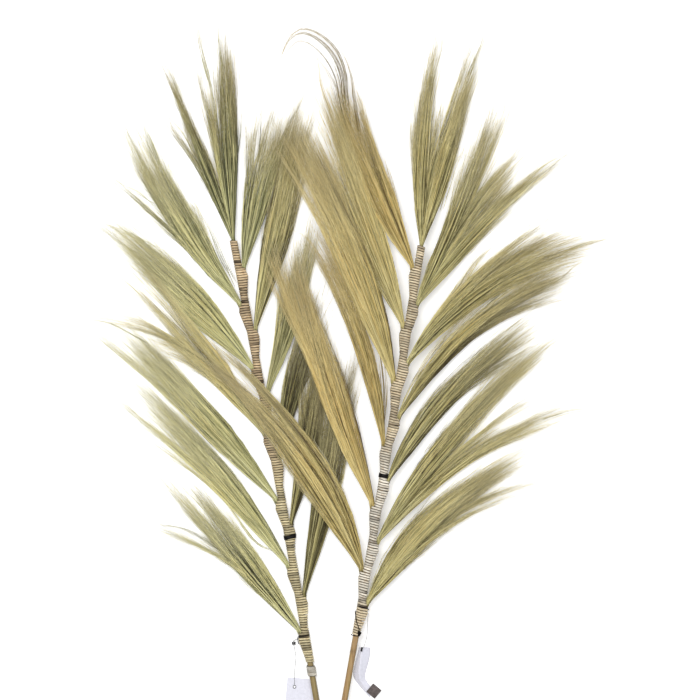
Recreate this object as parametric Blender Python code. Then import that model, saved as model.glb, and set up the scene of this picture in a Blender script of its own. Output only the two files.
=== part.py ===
"""A bundle of two dried rayung grass branches, lying flat.

Each branch is a straight stick with thirteen plumes of grass. A plume's stalk lies beside the
stick, under the turns of one long binding cord, and the plume springs from the cord's side.
+Y runs up the branches, +X to the right of someone who looks down on them, and +Z away from the
surface that they lie on. The right branch lies over the left one. Sizes are in metres; angles on
the plan are in degrees from +Y, positive towards +X.
"""

import math
from collections import namedtuple

import bmesh
import bpy
from mathutils import Vector

MM = 0.001
CLEARANCE = 0.3 * MM  # between pieces that touch

# The sticks cross here, near their cut ends. The origin is under the middle of the bundle.
CROSSING = Vector((-0.0385, -0.5755))
TAIL = 152 * MM  # from the crossing to each cut end

# Sticks and what is wound on them
STICK_SIDES = 12
STICK_STEP = 90 * MM
TOP_STALK = 35 * MM  # the top plume's stalk takes the last stretch of the binding's bore
CORD_THICKNESS = 1.9 * MM
BORE_OVERRUN = 5 * MM

# Where a plume's stalk is bound in, beside the stick
STALK_RADIUS = 2.0 * MM
POCKET_DEPTH = 22 * MM
POCKET_SIDES = 8
POCKET_OFFSET = 8.2 * MM  # from the stick's middle to the stalk's foot
MOUTH_OFFSET = 10.5 * MM  # and to the stalk where it leaves the binding
SWELL_RADIUS = 3.6 * MM  # of the binding round the stalk
SWELL_START = 45 * MM  # below the mouth
SWELL_FULL = 10 * MM  # below the mouth
SIDEWAYS = 0.1  # least cosine of an angle round the stick that faces the plumes of a side
SHOULDER = 1.5 * MM  # above the mouth the binding falls back to the stick within this
STALK_FREE = 3 * MM  # the stalk runs on straight so far past the mouth, then opens

# Plumes
PLUME_SIDES = 8
PLUME_SHARES = (0, 0.03, 0.09, 0.18, 0.29, 0.42, 0.56, 0.7, 0.83, 0.93, 1)
SIDE_LOCK_FROM = 2  # the section of its plume where a side lock starts, inside the main one
PLUME_THICKNESS = 20 * MM
SIDE_LOCK_THICKNESS = 16 * MM
TIP_RADIUS = 0.8 * MM
FULLEST = 0.8  # exponent that puts a lock's widest place at 0.42 of its length
SETTLE = 0.4  # share of its length over which a plume comes to its resting height
FLOOR_LAYER = 10  # resting height of a plume's middle, in mm
UPPER_LAYER = 31  # of one that lies over the left branch's plumes

# Bands, threads and knot: mm up the stick, then degrees round it where there is a second number
TAPE_THICKNESS = 0.8 * MM
END_CORD_START = 181 * MM
END_CORD_THICKNESS = 3.0 * MM
THREAD_DIAMETER = 1.4 * MM
CORD_STEP = 2.5  # diameters between a cord's points
CORD_RESOLUTION = 2  # bevel resolution, which gives a cord eight sides
LEFT_THREAD = (
    (254, 30), (254, 60), (254, 90), (254, 120), (253.5, 150), (251, 172), (245, 180), (241, 180),
)
RIGHT_THREAD = ((298, 172), (292, 148), (285, 124), (277, 100), (270, 80), (266.5, 68))
END_THREAD = ((258, 60), (257.2, 85), (257, 115), (257, 150), (257, 190))
ROOT_THREAD = ((308, 120), (307, 90), (306, 60), (304.5, 30), (303, 8))
KNOT = (262, 62)
KNOT_HALVES = (2.4 * MM, 4.0 * MM, 2.2 * MM)
KNOT_SEGMENTS = 10
KNOT_RINGS = 6

# Tags. A place is (x, y) in mm from where the sticks cross, then the height in mm.
CARD_THICKNESS = 0.6 * MM
CARD_CORNER = 2 * MM
CORNER_SEGMENTS = 3
LEFT_CARD_SIZE = (48 * MM, 85 * MM, CARD_THICKNESS)
LEFT_CARD_MIDDLE = (-50, 134, 0.3)
LEFT_CARD_TURN = 5
LEFT_EYELET = (-58.3, 162, 1.4)
EYELET_HOLE = 1.8 * MM
EYELET_RADIUS = 2.4 * MM
EYELET_WIRE = 0.5 * MM
EYELET_SECTIONS = 12
HOLE_DEPTH = 10 * MM
SEAL_PLACE = (-59.5, 236, 0.0)
SEAL_POINTS = 6
SEAL_OUTER = 4.2 * MM
SEAL_INNER = 2.6 * MM
SEAL_THICKNESS = 1.8 * MM
STRING_DIAMETER = 0.9 * MM
LEFT_STRING_START = (250, 210)  # mm up the stick, degrees round it
LEFT_STRING = (
    (-59.4, 241, 3.2), (-59.5, 236, 2.8), (-59, 231, 2.6), (-57.3, 222, 0.9), (-56, 212, 0.5),
    (-57.5, 195, 0.8), (-58.5, 181, 1.5), (-58.3, 172, 1.5), (-58.3, 165.6, 1.4),
)
# The folded card's rows from its top edge down: left edge, ridge, right edge
RIGHT_CARD = (
    ((52, 229, 0.6), (55.6, 231, 13), (70, 229, 0.6)),
    ((48, 216, 0.6), (54, 214, 14), (70, 214, 0.6)),
    ((43.7, 197, 0.6), (51.5, 196, 14), (65, 195.5, 0.6)),
    ((39.4, 180, 0.6), (51.3, 180, 12), (60, 180, 0.6)),
    ((53, 162, 0.6), (56, 167.5, 5), (63.5, 172, 0.6)),
    ((70, 144, 0.6), (70.2, 153, 4), (70.4, 163, 0.6)),
)
PATCH_SIZE = (18.5 * MM, 18.5 * MM, 0.5 * MM)
PATCH_MIDDLE = (76.5, 155.5, 5.2)
PATCH_TURN = 40
CLASP_SIZE = (3.2 * MM, 7.5 * MM, 2.2 * MM)
CLASP_MIDDLE = (55.8, 228, 15.7)
CLASP_TURN = 12
RIGHT_STRING_START = (297, 0)
RIGHT_STRING = (
    (66.3, 284, 21), (65.5, 268, 18), (64.5, 250, 16), (61.5, 238, 15.6), (58.8, 230.5, 15.7),
)

# Up to this angle between its faces a piece is shaded smooth, in degrees
ROUND = 50
VERY_ROUND = 80
FLAT = 30

Look = namedtuple("Look", "colour roughness metallic", defaults=(0.0,))
SAGE_GRASS = Look((0.31, 0.33, 0.17), 0.85)
GOLDEN_GRASS = Look((0.50, 0.39, 0.19), 0.85)
OLIVE_STICK = Look((0.22, 0.17, 0.09), 0.6)
TAN_STICK = Look((0.36, 0.26, 0.14), 0.6)
TAN_CORD = Look((0.37, 0.26, 0.15), 0.8)
CREAM_CORD = Look((0.66, 0.56, 0.43), 0.8)
WHITE_CORD = Look((0.76, 0.74, 0.68), 0.8)
BLACK_TAPE = Look((0.010, 0.010, 0.010), 0.5)
BLACK_THREAD = Look((0.015, 0.013, 0.010), 0.7)
BLACK_PLASTIC = Look((0.020, 0.020, 0.020), 0.4)
GREY_STRING = Look((0.55, 0.54, 0.52), 0.8)
WHITE_CARD = Look((0.80, 0.80, 0.84), 0.7)
BROWN_PAPER = Look((0.16, 0.11, 0.10), 0.6)

# at: up the stick from the crossing, in mm. side: -1 left, 1 right, 0 on the stick's end.
# rest: the height that its middle settles to, in mm. locks: the tufts that it parts into, each
# (angle at the root, angle at the tip, length in mm, width in mm).
Plume = namedtuple("Plume", "name at side rest locks")
# lean: degrees on the plan. reach: from the crossing to the top end. bow: how far the stick's
# middle stands to the right of its straight line. The heights are of its middle, at either end.
Branch = namedtuple(
    "Branch",
    "name lean reach bow foot_radius head_radius foot_height head_height"
    " binding_start tape plumes grass wood cord",
)

LEFT_PLUMES = (
    Plume("left_top_plume", 937, 0, FLOOR_LAYER, ((-5, -3, 380, 36), (-20, -24, 314, 24))),
    Plume("left_inner_plume_1", 883, 1, FLOOR_LAYER, ((10, 14, 285, 38),)),
    Plume("left_outer_plume_1", 823, -1, FLOOR_LAYER, ((-39, -20, 382, 44), (-39, -48, 314, 16))),
    Plume("left_inner_plume_2", 777, 1, FLOOR_LAYER, ((13, 15, 404, 44),)),
    Plume("left_outer_plume_2", 713, -1, FLOOR_LAYER, ((-40, -54, 364, 54),)),
    Plume("left_inner_plume_3", 667, 1, FLOOR_LAYER, ((18, 9, 325, 34),)),
    Plume("left_outer_plume_3", 600, -1, FLOOR_LAYER, ((-36, -46, 365, 38), (-30, -84, 340, 24))),
    Plume("left_inner_plume_4", 555, 1, FLOOR_LAYER, ((9, 18, 320, 32),)),
    Plume("left_outer_plume_4", 485, -1, FLOOR_LAYER, ((-40, -46, 385, 40),)),
    Plume("left_inner_plume_5", 442, 1, FLOOR_LAYER, ((14, 4, 365, 34),)),
    Plume("left_outer_plume_5", 372, -1, FLOOR_LAYER, ((-35, -48, 433, 40),)),
    Plume("left_inner_plume_6", 319, 1, FLOOR_LAYER, ((13, 11, 472, 42),)),
    Plume("left_outer_plume_6", 259, -1, FLOOR_LAYER, ((-37, -40, 353, 42), (-36, -66, 321, 14))),
)
RIGHT_PLUMES = (
    Plume("right_top_plume", 926, 0, FLOOR_LAYER, ((-2, 14, 383, 28), (13, 22, 367, 36))),
    Plume("right_inner_plume_1", 882, -1, UPPER_LAYER, ((-26, -17, 371, 38),)),
    Plume("right_outer_plume_1", 821, 1, FLOOR_LAYER,
          ((27, 17, 373, 26), (27, 42, 301, 38), (36, 53, 345, 28))),
    Plume("right_inner_plume_2", 782, -1, UPPER_LAYER, ((-20, -22, 438, 40),)),
    Plume("right_outer_plume_2", 722, 1, FLOOR_LAYER, ((37, 78, 407, 32), (34, 62, 355, 26))),
    Plume("right_inner_plume_3", 689, -1, UPPER_LAYER, ((-16, -31, 492, 48),)),
    Plume("right_outer_plume_3", 629, 1, FLOOR_LAYER, ((28, 71, 417, 34),)),
    Plume("right_inner_plume_4", 580, -1, UPPER_LAYER, ((-7, -31, 390, 26),)),
    Plume("right_outer_plume_4", 521, 1, FLOOR_LAYER, ((28, 58, 410, 34),)),
    Plume("right_inner_plume_5", 476, -1, UPPER_LAYER, ((-21, -13, 490, 44),)),
    Plume("right_outer_plume_5", 416, 1, FLOOR_LAYER, ((33, 52, 475, 38), (38, 73, 446, 24))),
    Plume("right_inner_plume_6", 366, -1, UPPER_LAYER, ((-21, -51, 441, 56),)),
    Plume("right_outer_plume_6", 310, 1, FLOOR_LAYER, ((30, 64, 390, 50), (36, 72, 325, 22))),
)
LEFT = Branch(
    "left", lean=-9.95, reach=937 * MM, bow=5 * MM, foot_radius=5.3 * MM, head_radius=4.6 * MM,
    foot_height=5.3 * MM, head_height=16 * MM, binding_start=206 * MM,
    tape=(419.5 * MM, 426.5 * MM), plumes=LEFT_PLUMES,
    grass=SAGE_GRASS, wood=OLIVE_STICK, cord=TAN_CORD,
)
RIGHT = Branch(
    "right", lean=9.73, reach=926 * MM, bow=3 * MM, foot_radius=5.3 * MM, head_radius=5.0 * MM,
    foot_height=14.4 * MM, head_height=38 * MM, binding_start=256 * MM,
    tape=(527.5 * MM, 534.5 * MM), plumes=RIGHT_PLUMES,
    grass=GOLDEN_GRASS, wood=TAN_STICK, cord=CREAM_CORD,
)


def mix(low, high, share):
    return low + (high - low) * share


def smooth(share):
    share = min(max(share, 0.0), 1.0)
    return share * share * (3 - 2 * share)


def spaced(start, end, step):
    """Even places from start to end, about a step apart."""
    count = max(1, round((end - start) / step))
    return [mix(start, end, i / count) for i in range(count + 1)]


def heading(angle):
    """The unit vector on the plan at an angle in degrees from +Y towards +X."""
    return Vector((math.sin(math.radians(angle)), math.cos(math.radians(angle)), 0))


def from_crossing(x, y, z):
    """A point given in mm, on the plan from where the sticks cross, and in height."""
    return Vector((CROSSING.x + x * MM, CROSSING.y + y * MM, z * MM))


def share_of_stick(branch, at):
    return (at + TAIL) / (branch.reach + TAIL)


def stick_radius(branch, at):
    return mix(branch.foot_radius, branch.head_radius, share_of_stick(branch, at))


def stick_angle(branch, at):
    """The stick's own direction on the plan, which its bow turns a little."""
    share = share_of_stick(branch, at)
    slope = branch.bow * math.pi * math.cos(math.pi * share) / (branch.reach + TAIL)
    return branch.lean + math.degrees(math.atan(slope))


def on_stick(branch, at, across=0.0, up=0.0):
    """A point of the branch, `at` up its stick, and so far to the right of its middle and above."""
    share = share_of_stick(branch, at)
    bow = branch.bow * math.sin(math.pi * share)
    middle = Vector((*CROSSING, mix(branch.foot_height, branch.head_height, share)))
    middle += heading(branch.lean) * at + heading(branch.lean + 90) * bow
    return middle + heading(stick_angle(branch, at) + 90) * across + Vector((0, 0, up))


def round_stick(branch, at, angle, radius):
    return on_stick(branch, at, radius * math.cos(angle), radius * math.sin(angle))


def swell_at(branch, at, side):
    """How far the binding has swollen to one side to take a stalk in: 0 not at all, 1 in full."""
    swell = 0.0
    for plume in branch.plumes:
        below = plume.at * MM - at
        if plume.side == side and -CLEARANCE / 2 <= below <= SWELL_START:
            swell = max(swell, min(1.0, (SWELL_START - below) / (SWELL_START - SWELL_FULL)))
    return swell


def binding_point(branch, at, angle, lift=0.0):
    """A point on the binding's surface, or so far outside it, at an angle round the stick."""
    radius = stick_radius(branch, at) + CLEARANCE + CORD_THICKNESS
    offset = 0.0
    if abs(math.cos(angle)) > SIDEWAYS:
        side = 1 if math.cos(angle) > 0 else -1
        swell = swell_at(branch, at, side)
        radius = mix(radius, SWELL_RADIUS, swell)
        offset = side * swell * MOUTH_OFFSET
    radius += lift
    return on_stick(branch, at, offset + radius * math.cos(angle), radius * math.sin(angle))


def on_binding(branch, places, lift):
    """Points so far outside a binding, at places given as (mm up the stick, degrees round it)."""
    return [binding_point(branch, at * MM, math.radians(angle), lift) for at, angle in places]


def stalk_middle(branch, plume, below):
    """The middle of a bound stalk, so far below the binding's mouth."""
    offset = plume.side * mix(MOUTH_OFFSET, POCKET_OFFSET, below / POCKET_DEPTH)
    return on_stick(branch, plume.at * MM - below, offset)


def material_of(name, look):
    material = bpy.data.materials.new(name)
    material.use_nodes = True
    shader = material.node_tree.nodes["Principled BSDF"]
    shader.inputs["Base Color"].default_value = (*look.colour, 1)
    shader.inputs["Roughness"].default_value = look.roughness
    shader.inputs["Metallic"].default_value = look.metallic
    material.diffuse_color = (*look.colour, 1)
    return material


def add_object(name, data, parent):
    obj = bpy.data.objects.new(name, data)
    bpy.context.scene.collection.objects.link(obj)
    obj.parent = parent
    return obj


def add_piece(name, mesh, parent, look, smooth_below=ROUND):
    """A visible piece with a material of its own, smooth where its faces meet at small angles."""
    mesh.materials.append(material_of(name, look))
    mesh.shade_smooth()
    mesh.set_sharp_from_angle(angle=math.radians(smooth_below))
    return add_object(name, mesh, parent)


def add_cutter(name, mesh, parent):
    cutter = add_object(name, mesh, parent)
    cutter.hide_render = True
    cutter.display_type = "WIRE"
    return cutter


def combine(obj, other, operation):
    change = obj.modifiers.new(other.name, "BOOLEAN")
    change.operation = operation
    change.object = other


def loft_into(bm, place, count, sides, closed=False):
    """Extrudes a ring through `count` sections. place(section, angle) says where a point goes."""
    angle_of = bm.verts.layers.float.get("angle") or bm.verts.layers.float.new("angle")
    ring = bmesh.ops.create_circle(bm, segments=sides, radius=1.0)["verts"]
    for vertex in ring:
        vertex[angle_of] = math.atan2(vertex.co.y, vertex.co.x)
        vertex.co = place(0, vertex[angle_of])
    first = edges = list({edge for vertex in ring for edge in vertex.link_edges})
    for section in range(1, count):
        grown = bmesh.ops.extrude_edge_only(bm, edges=edges)["geom"]
        for vertex in [item for item in grown if isinstance(item, bmesh.types.BMVert)]:
            vertex.co = place(section, vertex[angle_of])
        edges = [item for item in grown if isinstance(item, bmesh.types.BMEdge)]
        edges = [edge for edge in edges if len(edge.link_faces) == 1]
    if closed:
        bmesh.ops.bridge_loops(bm, edges=first + edges)
        return
    for end in (first, edges):
        bmesh.ops.contextual_create(bm, geom=end)


def finished_mesh(bm, name):
    bmesh.ops.recalc_face_normals(bm, faces=bm.faces)
    mesh = bpy.data.meshes.new(name)
    bm.to_mesh(mesh)
    bm.free()
    return mesh


def loft(name, place, count, sides, closed=False):
    bm = bmesh.new()
    loft_into(bm, place, count, sides, closed)
    return finished_mesh(bm, name)


def make_stick(branch, parent):
    ats = spaced(-TAIL, branch.reach - TOP_STALK - CLEARANCE, STICK_STEP)

    def place(section, angle):
        return round_stick(branch, ats[section], angle, stick_radius(branch, ats[section]))

    name = f"{branch.name}_stick"
    add_piece(name, loft(name, place, len(ats), STICK_SIDES), parent, branch.wood)


def cut_bore(bm, branch):
    """The space for the stick inside its binding, open at both ends."""
    ats = spaced(branch.binding_start - BORE_OVERRUN, branch.reach + BORE_OVERRUN, STICK_STEP)

    def place(section, angle):
        radius = stick_radius(branch, ats[section]) + CLEARANCE
        return round_stick(branch, ats[section], angle, radius)

    loft_into(bm, place, len(ats), STICK_SIDES)


def cut_pocket(bm, branch, plume):
    """The space for a plume's stalk inside the binding, open at its mouth."""
    depths = (POCKET_DEPTH + CLEARANCE, -SHOULDER)
    across = heading(stick_angle(branch, plume.at * MM) + 90)

    def place(section, angle):
        out = across * math.cos(angle) + Vector((0, 0, math.sin(angle)))
        return stalk_middle(branch, plume, depths[section]) + out * (STALK_RADIUS + CLEARANCE)

    loft_into(bm, place, len(depths), POCKET_SIDES)


def make_binding(branch, parent):
    """The wound cord as one sleeve, with a bore for the stick and a pocket for each stalk."""
    beside = [plume for plume in branch.plumes if plume.side]
    ats = {branch.binding_start, branch.reach}
    for plume in beside:
        mouth = plume.at * MM
        ats |= {mouth - SWELL_START, mouth - SWELL_FULL, mouth, mouth + SHOULDER}
    ats = sorted(at for at in ats if branch.binding_start <= at <= branch.reach)

    def place(section, angle):
        return binding_point(branch, ats[section], angle)

    name = f"{branch.name}_binding_cord"
    sleeve = add_piece(name, loft(name, place, len(ats), STICK_SIDES), parent, branch.cord)
    bores = bmesh.new()
    cut_bore(bores, branch)
    for plume in beside:
        cut_pocket(bores, branch, plume)
    cutter = add_cutter(f"{name}_bores", finished_mesh(bores, f"{name}_bores"), parent)
    combine(sleeve, cutter, "DIFFERENCE")


def lock_middle(root, rest, lock, share):
    """The middle of a lock, which curves as an arc on the plan and settles to its resting height."""
    start, end, length, _ = lock
    half_turn = math.radians(end - start) * share / 2
    chord = length * MM * share * (math.sin(half_turn) / half_turn if half_turn else 1.0)
    point = root + heading(mix(start, end, share / 2)) * chord
    point.z = mix(root.z, rest * MM, smooth(share / SETTLE))
    return point


def lock_half(full, root_radius, share):
    """Half of a lock's width or thickness: narrow where it is bound, full near its middle."""
    ends = mix(root_radius, TIP_RADIUS, share)
    return max(ends, full / 2 * math.sin(math.pi * share**FULLEST))


def lock_section(root, rest, lock, root_radius, thickness, share, angle):
    start, end, _, width = lock
    across = heading(mix(start, end, share) + 90) * lock_half(width * MM, root_radius, share)
    up = Vector((0, 0, lock_half(thickness, root_radius, share)))
    return lock_middle(root, rest, lock, share) + across * math.cos(angle) + up * math.sin(angle)


def make_plume(branch, plume, parent):
    """A stalk that opens into one tuft or parts into several, joined as one solid."""
    if plume.side:
        radius = STALK_RADIUS
        foot = stalk_middle(branch, plume, POCKET_DEPTH)
        root = stalk_middle(branch, plume, -STALK_FREE)
    else:
        radius = stick_radius(branch, branch.reach)
        foot = on_stick(branch, branch.reach - TOP_STALK)
        root = on_stick(branch, branch.reach)
    main_lock, *side_locks = plume.locks
    across = heading(stick_angle(branch, plume.at * MM) + 90)

    def place(section, angle):
        if section == 0:
            return foot + (across * math.cos(angle) + Vector((0, 0, math.sin(angle)))) * radius
        share = PLUME_SHARES[section - 1]
        return lock_section(root, plume.rest, main_lock, radius, PLUME_THICKNESS, share, angle)

    mesh = loft(plume.name, place, len(PLUME_SHARES) + 1, PLUME_SIDES)
    body = add_piece(plume.name, mesh, parent, branch.grass)
    side_shares = PLUME_SHARES[SIDE_LOCK_FROM:]
    for number, lock in enumerate(side_locks, 1):

        def place_side(section, angle, lock=lock):
            share = side_shares[section]
            return lock_section(root, plume.rest, lock, radius, SIDE_LOCK_THICKNESS, share, angle)

        name = f"{plume.name}_lock_{number}"
        side = add_cutter(name, loft(name, place_side, len(side_shares), PLUME_SIDES), parent)
        combine(body, side, "UNION")


def make_ring(name, place_at, ats, lifts, parent, look):
    """A closed band between two places up a stick and two heights off what it is wound on."""
    corners = [(ats[0], lifts[1]), (ats[1], lifts[1]), (ats[1], lifts[0]), (ats[0], lifts[0])]

    def place(section, angle):
        at, lift = corners[section]
        return place_at(at, angle, lift)

    mesh = loft(name, place, len(corners), STICK_SIDES, closed=True)
    add_piece(name, mesh, parent, look)


def make_tape_band(branch, parent):
    def place(at, angle, lift):
        return binding_point(branch, at, angle, lift)

    lifts = (CLEARANCE, CLEARANCE + TAPE_THICKNESS)
    make_ring(f"{branch.name}_tape_band", place, branch.tape, lifts, parent, BLACK_TAPE)


def make_end_cord(branch, parent):
    """Thicker cord wound on the bare stick, up to where the binding starts."""
    def place(at, angle, lift):
        return round_stick(branch, at, angle, stick_radius(branch, at) + lift)

    ats = (END_CORD_START, branch.binding_start - CLEARANCE)
    lifts = (CLEARANCE, END_CORD_THICKNESS)
    make_ring(f"{branch.name}_end_cord", place, ats, lifts, parent, WHITE_CORD)


def smooth_route(points, step):
    """Points about a step apart on a smooth curve through the given ones."""
    padded = [2 * points[0] - points[1], *points, 2 * points[-1] - points[-2]]
    line = [points[0]]
    for a, b, c, d in zip(padded, padded[1:], padded[2:], padded[3:]):
        count = max(1, round((c - b).length / step))
        for i in range(1, count + 1):
            t = i / count
            line.append(
                b
                + (c - a) * (t / 2)
                + (2 * a - 5 * b + 4 * c - d) * (t * t / 2)
                + (3 * b - 3 * c + d - a) * (t**3 / 2)
            )
    return line


def make_cord(name, points, diameter, parent, look):
    """A cord as a tube along a smooth curve through its route."""
    line = smooth_route(points, CORD_STEP * diameter)
    curve = bpy.data.curves.new(name, "CURVE")
    curve.dimensions = "3D"
    curve.bevel_depth = diameter / 2
    curve.bevel_resolution = CORD_RESOLUTION
    curve.use_fill_caps = True
    spline = curve.splines.new("POLY")
    spline.points.add(len(line) - 1)
    for point, co in zip(spline.points, line):
        point.co = (*co, 1)
    curve.materials.append(material_of(name, look))
    add_object(name, curve, parent)


def make_threads(parents):
    """Black threads tied round the bindings, with a knot on the right one."""
    lift = CLEARANCE + THREAD_DIAMETER / 2
    for name, branch, places in (
        ("left_black_thread", LEFT, LEFT_THREAD),
        ("right_black_thread", RIGHT, RIGHT_THREAD),
        ("right_end_thread", RIGHT, END_THREAD),
        ("right_root_thread", RIGHT, ROOT_THREAD),
    ):
        route = on_binding(branch, places, lift)
        make_cord(name, route, THREAD_DIAMETER, parents[branch.name], BLACK_THREAD)
    bm = bmesh.new()
    bmesh.ops.create_uvsphere(bm, u_segments=KNOT_SEGMENTS, v_segments=KNOT_RINGS, radius=1.0)
    bmesh.ops.scale(bm, vec=KNOT_HALVES, verts=bm.verts)
    mesh = finished_mesh(bm, "right_knot")
    knot = add_piece("right_knot", mesh, parents["right"], BLACK_THREAD, VERY_ROUND)
    knot.location = on_binding(RIGHT, [KNOT], CLEARANCE + KNOT_HALVES[2])[0]
    knot.rotation_euler.z = -math.radians(RIGHT.lean)


def make_block(name, size, middle, turn, parent, look, corner=0.0):
    """A flat block lying turned on the plan, with rounded corners where corner isn't 0."""
    bm = bmesh.new()
    bmesh.ops.create_cube(bm, size=1.0)
    bmesh.ops.scale(bm, vec=size, verts=bm.verts)
    if corner:
        upright = [e for e in bm.edges if abs(e.verts[0].co.z - e.verts[1].co.z) > size[2] / 2]
        bmesh.ops.bevel(
            bm, geom=upright, offset=corner, segments=CORNER_SEGMENTS, profile=0.5, affect="EDGES"
        )
    block = add_piece(name, finished_mesh(bm, name), parent, look, FLAT)
    block.location = from_crossing(*middle)
    block.rotation_euler.z = -math.radians(turn)
    return block


def make_eyelet(parent):
    """A round wire ring, which stands on the card at its hole."""
    def place(section, angle):
        around = 2 * math.pi * section / EYELET_SECTIONS
        out = EYELET_RADIUS + EYELET_WIRE * math.cos(angle)
        return Vector((out * math.cos(around), out * math.sin(around), EYELET_WIRE * math.sin(angle)))

    mesh = loft("left_tag_eyelet", place, EYELET_SECTIONS, POCKET_SIDES, closed=True)
    eyelet = add_piece("left_tag_eyelet", mesh, parent, BLACK_PLASTIC)
    eyelet.location = from_crossing(*LEFT_EYELET)


def make_seal(parent):
    """A flat star, which closes the string's loop."""
    bm = bmesh.new()
    bmesh.ops.create_circle(bm, cap_ends=True, segments=2 * SEAL_POINTS, radius=SEAL_OUTER)
    for vertex in list(bm.verts)[1::2]:
        vertex.co *= SEAL_INNER / SEAL_OUTER
    grown = bmesh.ops.extrude_face_region(bm, geom=bm.faces[:])["geom"]
    top = [item for item in grown if isinstance(item, bmesh.types.BMVert)]
    bmesh.ops.translate(bm, vec=(0, 0, SEAL_THICKNESS), verts=top)
    seal = add_piece("left_tag_seal", finished_mesh(bm, "left_tag_seal"), parent, BLACK_PLASTIC, FLAT)
    seal.location = from_crossing(*SEAL_PLACE)


def make_string(name, branch, start, places, parent):
    """A thin string that comes out of a binding and runs through places from the crossing."""
    lift = CLEARANCE + STRING_DIAMETER / 2
    route = on_binding(branch, [start], lift) + [from_crossing(*place) for place in places]
    make_cord(name, route, STRING_DIAMETER, parent, GREY_STRING)


def make_left_tag(parent):
    """A plain card on the surface, partly under the stick, on a thin string with a seal."""
    card = make_block("left_tag_card", LEFT_CARD_SIZE, LEFT_CARD_MIDDLE, LEFT_CARD_TURN, parent,
                      WHITE_CARD, CARD_CORNER)
    bm = bmesh.new()
    bmesh.ops.create_cone(bm, cap_ends=True, segments=EYELET_SECTIONS, radius1=EYELET_HOLE,
                          radius2=EYELET_HOLE, depth=HOLE_DEPTH)
    cutter = add_cutter("left_tag_card_hole", finished_mesh(bm, "left_tag_card_hole"), parent)
    cutter.location = from_crossing(*LEFT_EYELET)
    combine(card, cutter, "DIFFERENCE")
    make_eyelet(parent)
    make_seal(parent)
    make_string("left_tag_string", LEFT, LEFT_STRING_START, LEFT_STRING, parent)


def make_folded_card(name, rows, parent):
    """A card folded along its middle, standing on its long edges, and curled at its foot."""
    bm = bmesh.new()
    bmesh.ops.create_grid(bm, x_segments=2, y_segments=len(rows) - 1, size=1.0)
    corners = sorted(bm.verts, key=lambda vertex: (round(-vertex.co.y, 3), vertex.co.x))
    for vertex, place in zip(corners, [place for row in rows for place in row]):
        vertex.co = from_crossing(*place)
    card = add_piece(name, finished_mesh(bm, name), parent, WHITE_CARD, FLAT)
    solid = card.modifiers.new("thickness", "SOLIDIFY")
    solid.thickness = CARD_THICKNESS
    solid.offset = 0


def make_right_tag(parent):
    """A folded card with a square patch at its foot, on a thin string with a clasp."""
    make_folded_card("right_tag_card", RIGHT_CARD, parent)
    make_block("right_tag_patch", PATCH_SIZE, PATCH_MIDDLE, PATCH_TURN, parent, BROWN_PAPER)
    make_block("right_tag_clasp", CLASP_SIZE, CLASP_MIDDLE, CLASP_TURN, parent, BLACK_PLASTIC)
    make_string("right_tag_string", RIGHT, RIGHT_STRING_START, RIGHT_STRING, parent)


def make_branch(branch):
    parent = add_object(f"{branch.name}_branch", None, None)
    make_stick(branch, parent)
    make_binding(branch, parent)
    make_tape_band(branch, parent)
    for plume in branch.plumes:
        make_plume(branch, plume, parent)
    return parent


def clear_scene():
    for obj in list(bpy.data.objects):
        bpy.data.objects.remove(obj)


def main():
    clear_scene()
    parents = {branch.name: make_branch(branch) for branch in (LEFT, RIGHT)}
    make_end_cord(LEFT, parents["left"])
    make_threads(parents)
    make_left_tag(parents["left"])
    make_right_tag(parents["right"])


main()
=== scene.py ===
"""Finishes a flat-lying bundle of two dried rayung grass branches.

Each branch is a bare stick with a cord wound tightly round it. The cord holds the stalks of
thirteen plumes, each a tuft of hundreds of dry blades that frays into fine hairs. Sizes are in
metres unless a table says millimetres. Angles on the plan are in degrees from +Y towards +X.
"""

import math
from collections import namedtuple

import bmesh
import bpy
import numpy as np
from mathutils import Matrix, Vector


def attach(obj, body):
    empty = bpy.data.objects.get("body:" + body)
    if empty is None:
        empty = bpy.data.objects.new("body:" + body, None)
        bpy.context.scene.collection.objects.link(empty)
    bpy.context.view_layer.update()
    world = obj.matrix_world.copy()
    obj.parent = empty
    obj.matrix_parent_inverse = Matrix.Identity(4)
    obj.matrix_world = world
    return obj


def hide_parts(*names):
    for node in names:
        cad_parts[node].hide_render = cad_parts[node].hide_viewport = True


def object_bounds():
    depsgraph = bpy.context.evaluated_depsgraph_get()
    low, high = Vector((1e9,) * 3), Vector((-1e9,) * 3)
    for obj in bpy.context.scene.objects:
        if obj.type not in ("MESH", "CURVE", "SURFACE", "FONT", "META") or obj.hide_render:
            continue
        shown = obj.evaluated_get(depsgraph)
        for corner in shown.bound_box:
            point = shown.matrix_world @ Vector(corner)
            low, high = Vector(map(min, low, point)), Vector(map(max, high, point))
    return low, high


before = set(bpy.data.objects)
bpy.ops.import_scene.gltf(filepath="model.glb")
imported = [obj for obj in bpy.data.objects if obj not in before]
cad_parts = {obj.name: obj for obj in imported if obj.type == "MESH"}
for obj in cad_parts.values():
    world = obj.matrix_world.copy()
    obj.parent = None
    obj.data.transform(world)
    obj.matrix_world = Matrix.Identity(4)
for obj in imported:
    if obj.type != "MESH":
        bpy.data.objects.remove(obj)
CAD_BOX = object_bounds()

bl_info = {
    "name": "Rayung grass bundle",
    "version": (1, 0, 0),
    "blender": (4, 5, 0),
    "location": "View3D > Sidebar > Rayung",
    "description": "Dresses a bundle of dried rayung grass branches",
    "category": "Object",
}

MM = 0.001
PERCENT = 0.01
FULL_TURN = 2 * math.pi
STRAND_MAP = "OFBake"
TINT = "tint"

# ---- The branches, as the frame has them

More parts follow.
